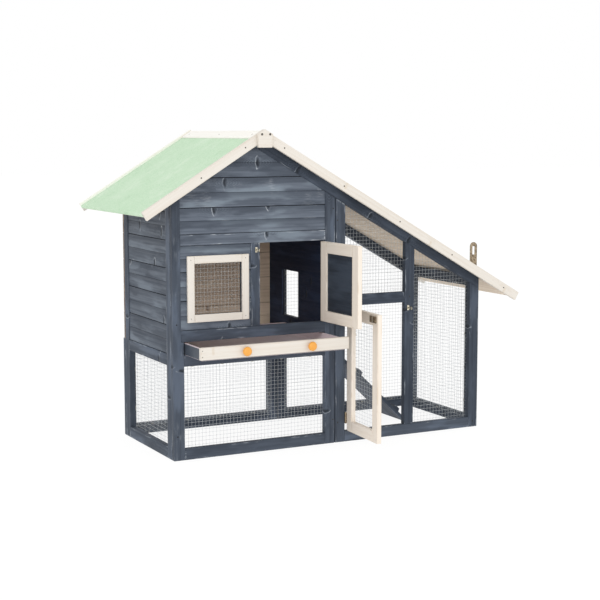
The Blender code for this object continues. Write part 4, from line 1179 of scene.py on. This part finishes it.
@dataclass
class Roof:
    """Two boarded slopes under mineral felt, edged with cream bargeboards and a ridge cap."""

    board_mm: float = 92.0
    wave_mm: float = 0.5
    fold_mm: float = 9.0
    grid: tuple[int, int] = (64, 48)    # the felt's steps down the slope and from front to back
    screw_down: float = 0.55            # how far down the ridge cap its screws are
    screw_x: dict = field(default_factory=lambda: {
        "left": (0.0715, 0.2297), "right": (0.373, 0.601, 0.825, 1.044, 1.272)})

    def build(self) -> None:
        """Build the decks, felts, bargeboards, cap and gusset."""
        for side in ("left", "right"):
            self.deck(side)
            self.felt(side)
            for end in ("front", "back"):
                node = f"{end}_fascia_{side}"
                along = Along.LEFT_SLOPE if side == "left" else Along.RIGHT_SLOPE
                paint = PaintedPine(along, **(LIT_RIDGE_PAINT if end == "back" else {}))
                SHOP.piece(f"{node}_board", eased(from_node(node), 1.0, 4.0), paint,
                           replaces=[node])
                face = low(node).y if end == "front" else high(node).y
                centres = [(x, face, SLOPES.height(x, 16 * MM)) for x in self.screw_x[side]]
                screws(f"{node}_screws", centres, (0, -1, 0) if end == "front" else (0, 1, 0))
        SHOP.piece("ridge_cap_boards", eased(from_node("ridge_cap"), 1.0, 4.0), PaintedPine(Along.Y, **LIT_RIDGE_PAINT),
                   replaces=["ridge_cap"])
        SHOP.piece("ridge_gusset_board", eased(from_node("ridge_gusset"), 1.0, 4.0), PaintedPine(Along.X),
                   replaces=["ridge_gusset"])
        face = low("ridge_gusset").y
        centre = SLOPES.apex_x
        screws("ridge_gusset_screws", [(centre + dx, face, SLOPES.apex_z - 0.0165) for dx in (-0.0125,
                                                                                              0.0168)], (0, -1,
                                                                                                          0),
               radius_mm=4.0, finish=PITCH_SCREW)
        self.cap_screws()

    def frame_of(self, side: str) -> tuple[Vector, Vector, Vector]:
        """A slope's downhill direction, its outward normal, and its point at the ridge."""
        sign, slope = (-1, SLOPES.left) if side == "left" else (1, SLOPES.right)
        run = hypot(1.0, slope)
        return (Vector((sign / run, 0, -slope / run)), Vector((sign * slope / run, 0, 1 / run)),
                Vector((SLOPES.apex_x, 0, SLOPES.apex_z)))

    def extent(self, node: str, side: str) -> tuple[float, float, float, float]:
        """A node's start and end down a slope, and its lowest and highest distance square to it."""
        down, out, ridge = self.frame_of(side)
        points = [v.co for v in frame["nodes"][node].data.vertices]
        along = [(p - ridge).dot(down) for p in points]
        outward = [(p - ridge).dot(out) for p in points]
        return min(along), max(along), min(outward), max(outward)

    def deck(self, side: str) -> None:
        """A slope's deck as boards that run from front to back."""
        node = f"roof_deck_{side}"
        down, out, ridge = self.frame_of(side)
        start, end, under, over = self.extent(node, side)
        a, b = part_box(node)
        start = max(start, max(-under * abs(down.z / down.x), 0.0))
        count = round((end - start) / (self.board_mm * MM))
        first = None
        for k in range(count):
            s0, s1 = start + (end - start) * k / count, start + (end - start) * (k + 1) / count - 0.7 * MM
            corners = [ridge + down * s + out * o + Vector((0, y, 0)) for y in (a.y, b.y)
                       for s, o in ((s0, under), (s1, under), (s1, over), (s0, over))]
            board = SHOP.piece(f"{node}_board_{k + 1}", eased(box_of(corners), 0.8, 4.0),
                               BarePine(Along.Y, body="#F0E0CD", line="#D6C2AA"))
            first = first or board
        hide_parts(node)

    def felt(self, side: str) -> None:
        """A slope's felt: laid not quite flat, and folded down at the eave."""
        node = f"roof_felt_{side}"
        down, out, ridge = self.frame_of(side)
        start, end, under, over = self.extent(node, side)
        a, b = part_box(node)
        rows, columns = self.grid
        rng = random.Random(node)
        waves = [(rng.uniform(4, 16), rng.uniform(3, 12), rng.uniform(0, 2 * pi), rng.uniform(0.3, 1.0))
                 for _ in range(7)]
        shape = bmesh.new()

        def raised(s: float, y: float) -> float:
            """How far the felt stands off the deck here."""
            total = sum(w * sin(p * s * 2 + q * y * 2 + r) for p, q, r, w in waves) / 3
            return max(-0.3, total) * self.wave_mm * MM

        def skin(lift: float, wavy: bool) -> list[list[bmesh.types.BMVert]]:
            """A grid of points at one face of the felt."""
            grid = []
            for i in range(rows + 1):
                s = start + (end - start) * i / rows
                line = []
                for j in range(columns + 1):
                    y = a.y + (b.y - a.y) * j / columns
                    rise = lift + (raised(s, y) if wavy else 0.0)
                    line.append(shape.verts.new(ridge + down * s + out * rise + Vector((0, y, 0))))
                grid.append(line)
            for fold in (0.35, 0.75, 1.0):
                inner = 0.0 if wavy else 1.2 * MM
                drop = fold * self.fold_mm * MM
                grid.append([shape.verts.new(ridge + down * (end + 1.0 * MM - inner) + out * (lift - drop)
                                             + Vector((0, a.y + (b.y - a.y) * j / columns, 0)))
                             for j in range(columns + 1)])
            return grid
        upper, lower = skin(over, True), skin(under + 0.2 * MM, False)
        for grid, flip in ((upper, False), (lower, True)):
            for line, after in zip(grid, grid[1:]):
                for j in range(columns):
                    corners = [line[j], line[j + 1], after[j + 1], after[j]]
                    shape.faces.new(corners[::-1] if flip else corners)
        rim, below = ([*g[0], *[r[-1] for r in g[1:]], *g[-1][-2::-1], *[r[0] for r in g[-2:0:-1]]]
                      for g in (upper, lower))
        for k in range(len(rim)):
            after = (k + 1) % len(rim)
            shape.faces.new((rim[k], rim[after], below[after], below[k]))
        SHOP.piece(f"{node}_sheet", shape, MineralFelt(), replaces=[node])

    def cap_screws(self) -> None:
        """Three small screws down each side of the ridge cap."""
        a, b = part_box("ridge_cap")
        for side in ("left", "right"):
            down, out, ridge = self.frame_of(side)
            _, end, _, lift = self.extent("ridge_cap", side)
            reach = end * self.screw_down
            centres = [ridge + down * reach + out * lift + Vector((0, a.y + (b.y - a.y) * share, 0))
                       for share in (0.06, 0.5, 0.94)]
            screws(f"ridge_cap_screws_{side}", centres, out, radius_mm=2.2)


# ---- doors and their fittings ------------------------------------------------------------
@dataclass
class Hinge:
    """A butt hinge: five knuckles on a pin, with a leaf on the post's side and one on the door's edge."""

    node: str
    door: str
    hinge: str
    toward: int                 # +1 when the post is on the right
    leaf: float = 14 * MM
    plate: float = 1.1 * MM
    seam: float = 0.1 * MM
    knuckles: int = 5
    radius: float = 2.8 * MM
    edge: float = 0.3 * MM      # the broken edge of a knuckle

    def build(self) -> None:
        """Build the leaves, knuckles, pin and screws."""
        a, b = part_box(self.node)
        pivot = Vector(joint(self.hinge)["pos_m"])
        radius, edge = self.radius, self.edge
        step = (b.z - a.z) / self.knuckles
        back = swing(self.hinge, joint(self.hinge)["range_deg"][1]).inverted()
        for owner, first, sign in (("post", 0, self.toward), ("door", 1, -self.toward)):
            shapes = []
            for k in range(first, self.knuckles, 2):
                low_z, high_z = a.z + k * step + 0.15 * MM, a.z + (k + 1) * step - 0.15 * MM
                tall = high_z - low_z
                shapes.append(lathe([(radius - edge, 0), (radius, edge), (radius, tall - edge), (radius - edge,
                                                                                                  tall)],
                                    (pivot.x, pivot.y, low_z), (0, 0, 1)))
            inner, outer = pivot.x + sign * self.seam, pivot.x + sign * (self.seam + self.plate)
            leaf = block((min(inner, outer), pivot.y, a.z), (max(inner, outer), pivot.y + self.leaf, b.z))
            shapes.append(eased(leaf, 0.3, 2.0))
            body, turn = ("hutch", None) if owner == "post" else (self.door, back)
            SHOP.piece(f"{self.node}_{owner}_leaf", merged(shapes), BRONZED, body,
                       [self.node] if owner == "post" else (), turn=turn)
            heads = [(inner + sign * 0.55 * MM, pivot.y + self.leaf * 0.65, a.z + (b.z - a.z) * share)
                     for share in (0.2, 0.8)]
            screws(f"{self.node}_{owner}_screws", heads, (-sign, 0, 0), body, 1.8, NICKELLED,
                   turn)
        pin = lathe([(radius * 0.5, 0), (radius * 0.5, b.z - a.z + 1.6 * MM)],
                    (pivot.x, pivot.y, a.z - 0.8 * MM), (0, 0, 1), 16)
        SHOP.piece(f"{self.node}_pin", pin, NICKELLED)


@dataclass
class Hasp:
    """A hasp: a slotted strap on an upright knuckle, and its base plate on the door."""

    node: str
    strap_body: str
    door: str
    hinge: str
    strap_hinge: str
    inward: int                 # +1 when the strap folds back towards +X with the door shut
    base: float = 26 * MM
    plate: float = 1.3 * MM

    def build(self) -> None:
        """Build the strap, the base plate and its screws."""
        SHOP.piece(f"{self.node}_plate", eased(from_node(self.node, whole=False), 0.3, 50.0), BRONZED,
                   self.strap_body, [self.node])
        turn = swing(self.hinge, joint(self.hinge)["range_deg"][1])
        pivot = turn @ Vector(joint(self.strap_hinge)["pos_m"])
        points = [turn @ v.co for v in frame["nodes"][self.node].data.vertices]
        under, over = min(p.z for p in points), max(p.z for p in points)
        inner, outer = pivot.x + self.inward * 1.6 * MM, pivot.x + self.inward * self.base
        plate = eased(block((min(inner, outer), FRONT - self.plate, under + 1 * MM),
                            (max(inner, outer), FRONT - 0.05 * MM, over - 1 * MM)), 0.3, 2.0)
        back = turn.inverted()
        SHOP.piece(f"{self.node}_base", plate, BRONZED, self.door, turn=back)
        away = [(pivot.x + self.inward * self.base * 0.72, FRONT - self.plate - 0.2 * MM,
                 under + (over - under) * s) for s in (0.25, 0.75)]
        screws(f"{self.node}_base_screws", away, (0, -1, 0), self.door, 1.8, NICKELLED, back)


@dataclass
class Staple:
    """A turning staple: a flattened eye on a swivelling neck, over a small base plate."""

    node: str
    wire: float = 1.5 * MM
    plate: float = 0.5 * MM                     # thin enough to lie under the shut strap
    plate_size: Point = (8.0 * MM, 17.4 * MM)

    def build(self) -> None:
        """Build the eye, the neck, the plate and its screws."""
        a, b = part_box(self.node)
        pivot = Vector(joint(f"{self.node}_turn")["pos_m"])
        length, half = 16 * MM, (b.z - a.z) / 2 - self.wire
        centre = Vector((pivot.x, a.y + length / 2, pivot.z))
        shape = bmesh.new()
        steps, sides, rings = 36, 10, []
        for k in range(steps):
            angle = 2 * pi * k / steps
            spread = 1.0 + 0.16 * cos(2 * angle)
            radial = Vector((0, -cos(angle) * (length / 2 - self.wire), sin(angle) * half * spread))
            out = radial.normalized()
            rings.append([shape.verts.new(centre + radial + out * self.wire * cos(2 * pi * j / sides)
                                          + Vector((self.wire * sin(2 * pi * j / sides), 0, 0)))
                          for j in range(sides)])
        for k, ring in enumerate(rings):
            after = rings[(k + 1) % steps]
            for j in range(sides):
                nxt = (j + 1) % sides
                shape.faces.new((ring[j], after[j], after[nxt], ring[nxt]))
        neck_end = a.y + length
        reach = FRONT - self.plate - 0.1 * MM - neck_end + 1.0 * MM
        neck = lathe([(2.4 * MM, 0), (2.4 * MM, reach * 0.9), (2.6 * MM, reach * 0.95), (2.6 * MM, reach)],
                     (pivot.x, neck_end - 1.0 * MM, pivot.z), (0, 1, 0), 20)
        SHOP.piece(f"{self.node}_eye", merged([shape, neck]), NICKELLED, self.node, [self.node])
        wide, tall = self.plate_size[0] / 2, self.plate_size[1] / 2
        plate = eased(block((pivot.x - wide, FRONT - self.plate, pivot.z - tall),
                            (pivot.x + wide, FRONT - 0.05 * MM, pivot.z + tall)), 0.15, 2.0)
        SHOP.piece(f"{self.node}_plate", plate, NICKELLED)
        screws(f"{self.node}_plate_screws", [(pivot.x, FRONT - 0.1 * MM, pivot.z + dz * MM) for dz in (-6.4,
                                                                                                       6.4)],
               (0, -1, 0), "hutch", 1.3, NICKELLED)


@dataclass
class Doors:
    """The house door with its boarded panel and the run door with its mesh, both standing open."""

    frame_width: float = 38 * MM

    def build(self) -> None:
        """Build both doors, their hinges, hasps and staples."""
        for name in ("house", "run"):
            node, hinge = f"{name}_door_frame", f"{name}_door_hinge"
            a, b = shut_box(node, hinge)
            back = swing(hinge, joint(hinge)["range_deg"][1]).inverted()
            four_members(f"{name}_door", a, b, self.frame_width, PaintedPine(Along.Z, **LIT_DOOR_PAINT),
                         PaintedPine(Along.Y, **LIT_DOOR_PAINT), f"{name}_door", back, [node])
        SHOP.piece("house_door_panel_board", eased(from_node("house_door_panel"), 0.6, 4.0),
                   StainedPine(Along.Y, **PANEL), "house_door", ["house_door_panel"])
        for node, door, toward in (("house_door_hinge_lower", "house_door", 1),
                                   ("house_door_hinge_upper", "house_door", 1),
                                   ("run_door_hinge_lower", "run_door", -1),
                                   ("run_door_hinge_upper", "run_door", -1)):
            Hinge(node, door, f"{door}_hinge", toward).build()
        Hasp("house_hasp_strap", "house_hasp", "house_door", "house_door_hinge", "house_hasp_hinge",
             1).build()
        Hasp("run_hasp_strap", "run_hasp", "run_door", "run_door_hinge", "run_hasp_hinge", -1).build()
        for node in ("house_staple", "run_staple"):
            Staple(node).build()


@dataclass
class RoofHasp:
    """The slotted strap on the long slope, and the leaf that holds it to the deck."""

    leaf: float = 24 * MM
    plate: float = 1.2 * MM
    knuckle: float = 1.7 * MM
    leaf_start: float = 2.8 * MM    # clear of the barrel, which turns with the strap

    def build(self) -> None:
        """Build the strap, its knuckle, its leaf and screws."""
        SHOP.piece("roof_hasp_strap", eased(from_node("roof_hasp", whole=False), 0.35, 50.0), BRONZED,
                   "roof_hasp", ["roof_hasp"])
        hinge = joint("roof_hasp_hinge")
        pivot, along = Vector(hinge["pos_m"]), Vector(hinge["axis"])
        out = Vector((-along.z, 0, along.x))
        half = 15 * MM / along.x
        rest = pivot - out * 0.8 * MM
        corners = [rest + along * s + Vector((0, y, 0)) + out * o for y in (self.leaf_start, self.leaf)
                   for s, o in ((-half, 0), (half, 0), (half, self.plate), (-half, self.plate))]
        barrel = lathe([(self.knuckle, 0), (self.knuckle, 2 * half)], pivot - along * half, along, 16)
        SHOP.piece("roof_hasp_barrel", barrel, BRONZED, "roof_hasp")
        SHOP.piece("roof_hasp_leaf", eased(box_of(corners), 0.3, 2.0), BRONZED)
        heads = [rest + along * s + Vector((0, self.leaf * 0.62, 0)) + out * self.plate for s in (-9 * MM,
                                                                                                  9 * MM)]
        screws("roof_hasp_screws", heads, out, "hutch", 1.9, NICKELLED)


# ---- the tray and the ramp ---------------------------------------------------------------
@dataclass
class Tray:
    """The pull-out tray: a folded sheet with a cream front and two orange knobs."""

    def build(self) -> None:
        """Build the sheet, the front, its knobs and screws."""
        a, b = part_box("tray")
        shape = from_node("tray")
        bmesh.ops.recalc_face_normals(shape, faces=shape.faces)
        shape.normal_update()
        for face in shape.faces:
            centre = face.calc_center_median()
            outer = (min(centre.x - a.x, b.x - centre.x) < 0.5 * MM or b.y - centre.y < 0.5 * MM
                     or centre.y - a.y < 0.5 * MM)
            face.material_index = 1 if outer else 0
        SHOP.piece("tray_sheet_body", eased(shape, 0.8, 5.0), [TRAY_SHEET, TRAY_SIDE], "tray",
                   ["tray"])
        SHOP.piece("tray_front_board", eased(from_node("tray_front"), 1.0, 4.0), PaintedPine(Along.X),
                   "tray", ["tray_front"])
        front = low("tray_front")
        for side in ("left", "right"):
            self.knob(f"tray_knob_{side}", front.y)
        at = front.x + 6 * MM
        middle = (front.z + high("tray_front").z) / 2
        screws("tray_front_screws", [(at, front.y, middle + dz * MM) for dz in (-10, 10)], (0, -1, 0), "tray",
               1.6)

    def knob(self, node: str, face: float) -> None:
        """A moulded knob: a short stem, a rim and a domed face with a shallow dimple."""
        a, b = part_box(node)
        radius, depth = (b.x - a.x) / 2, face - a.y
        profile = [(0.50, 0.0), (0.50, 0.26), (0.60, 0.34), (0.88, 0.40), (0.97, 0.48), (1.0, 0.58), (0.985,
                                                                                                      0.68),
                   (0.93, 0.80), (0.82, 0.90), (0.66, 0.96), (0.48, 0.99), (0.30, 1.0), (0.12, 0.985), (0.0,
                                                                                                        0.98)]
        shape = lathe([(r * radius, s * depth) for r, s in profile],
                      ((a.x + b.x) / 2, face, (a.z + b.z) / 2), (0, -1, 0), 48)
        SHOP.piece(f"{node}_moulding", shape, ORANGE, "tray", [node], 60.0)


@dataclass
class Ramp:
    """The cleated board from the doorway to the ground."""

    def build(self) -> None:
        """Build the board with its cleats."""
        SHOP.piece("ramp_board", eased(from_node("ramp"), 0.9, 4.0), StainedPine(Along.RAMP, **DARK),
                   "ramp", ["ramp"])


@dataclass
class Screws:
    """The screws that hold the posts to the rails, seen from the front."""

    places: Sequence[Point] = ((-0.006, 0.454), (-0.006, 0.081), (0.577, 0.821), (0.594, 0.780), (0.578,
                                                                                                  0.084),
                               (0.597, 0.071), (1.166, 0.021), (0.888, 0.500))

    def build(self) -> None:
        """Build the heads."""
        screws("post_screws", [(x, FRONT, z) for x, z in self.places], (0, -1, 0), radius_mm=2.4)


# ---- the studio --------------------------------------------------------------------------
@dataclass
class Studio:
    """The camera, a pale floor and plain soft light."""

    camera_at: tuple[float, float, float] = (-1.68905, -4.13145, 1.07757)
    camera_turn: tuple[float, float, float] = (90 - 6.95, 0.0, -27.41)
    lens_mm: float = 82.17
    world_strength: float = 1.0
    floor_glow: float = 0.91      # lights the hutch from below and keeps the floor white in its shade
    floor_grey: float = 0.12

    def build(self) -> None:
        """Set up the camera, the floor, the world and the lights."""
        scene = bpy.context.scene
        camera = bpy.data.cameras.new("camera")
        camera.lens, camera.sensor_width = self.lens_mm, 36.0
        eye = bpy.data.objects.new("camera", camera)
        eye.location = self.camera_at
        eye.rotation_euler = [radians(a) for a in self.camera_turn]
        scene.collection.objects.link(eye)
        scene.camera = eye
        scene.view_settings.view_transform = "Standard"
        self.floor()
        self.world(scene)
        self.area("key", (-2.2, -3.6, 3.2), 22, 2.0)
        self.area("front", (-1.3, -4.4, 1.2), 23, 1.2)
        self.area("fill", (3.0, -3.2, 1.6), 8, 2.4)

    def floor(self) -> None:
        """A wide pale floor."""
        shape = bmesh.new()
        bmesh.ops.create_grid(shape, x_segments=1, y_segments=1, size=30.0)
        bmesh.ops.translate(shape, verts=shape.verts, vec=(0, 0, -0.5 * MM))
        mesh = bpy.data.meshes.new("floor")
        shape.to_mesh(mesh)
        shape.free()
        made = bpy.data.objects.new("floor", mesh)
        bpy.context.scene.collection.objects.link(made)
        matte = bpy.data.materials.new("matte_white_floor")
        matte.use_nodes = True
        shader = matte.node_tree.nodes["Principled BSDF"]
        shader.inputs["Base Color"].default_value = (*(self.floor_grey,) * 3, 1.0)
        shader.inputs["Roughness"].default_value = 0.9
        shader.inputs["Specular IOR Level"].default_value = 0.0
        shader.inputs["Emission Color"].default_value = linear("#FFFFFF")
        shader.inputs["Emission Strength"].default_value = self.floor_glow
        mesh.materials.append(matte)

    def world(self, scene: bpy.types.Scene) -> None:
        """An even white surround."""
        world = bpy.data.worlds.new("white_surround")
        world.use_nodes = True
        back = world.node_tree.nodes["Background"]
        back.inputs["Color"].default_value = (1.0, 1.0, 1.0, 1.0)
        back.inputs["Strength"].default_value = self.world_strength
        scene.world = world

    def area(self, name: str, at: Sequence[float], watts: float, size: float) -> None:
        """A square soft light aimed at the hutch."""
        light = bpy.data.lights.new(name, "AREA")
        light.energy, light.size = watts, size
        made = bpy.data.objects.new(name, light)
        made.location = at
        aim = Vector((0.55, 0.2, 0.5)) - Vector(at)
        made.rotation_euler = aim.to_track_quat("-Z", "Y").to_euler()
        bpy.context.scene.collection.objects.link(made)


def main() -> None:
    """Build every sub-assembly, then the studio."""
    logging.basicConfig(level=logging.INFO, format="%(name)s %(message)s")
    Timbers().build()
    Frames().build()
    for wall in WALLS:
        wall.build()
    Meshwork().build()
    Window().build()
    Roof().build()
    Doors().build()
    RoofHasp().build()
    Tray().build()
    Ramp().build()
    Screws().build()
    Studio().build()


def window_hole() -> tuple[float, float, float, float]:
    """The window's opening in the boards behind its trim."""
    a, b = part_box("window_frame")
    trim = Window().width
    return a.x + trim, a.z + trim, b.x - trim, b.z - trim


def doorway_hole() -> tuple[float, float, float, float]:
    """The doorway's opening, from the corners of its edges."""
    a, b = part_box("doorway_wall")
    inner = [v.co for v in frame["nodes"]["doorway_wall"].data.vertices
             if a.y + MM < v.co.y < b.y - MM and a.z + MM < v.co.z < b.z - MM]
    return (min(p.y for p in inner), min(p.z for p in inner), max(p.y for p in inner),
            max(p.z for p in inner))


WALLS = [
    Shiplap("gable_boards", Plane.FRONT, (0.835, 0.932, 1.029)),
    Shiplap("window_boards", Plane.FRONT, (0.530, 0.625), hole=window_hole()),
    Shiplap("left_boards", Plane.SIDE, (0.449, 0.545, 0.637, 0.729, 0.822), stain=SIDE),
    Shiplap("back_boards", Plane.FRONT, (0.449, 0.545, 0.637, 0.729, 0.822, 0.915), bare=True, lining=SIDE),
    Shiplap("doorway_wall", Plane.SIDE, (), hole=doorway_hole(), stain=SHADED, groove_mm=0.0),
]

if __name__ == "__main__":
    main()
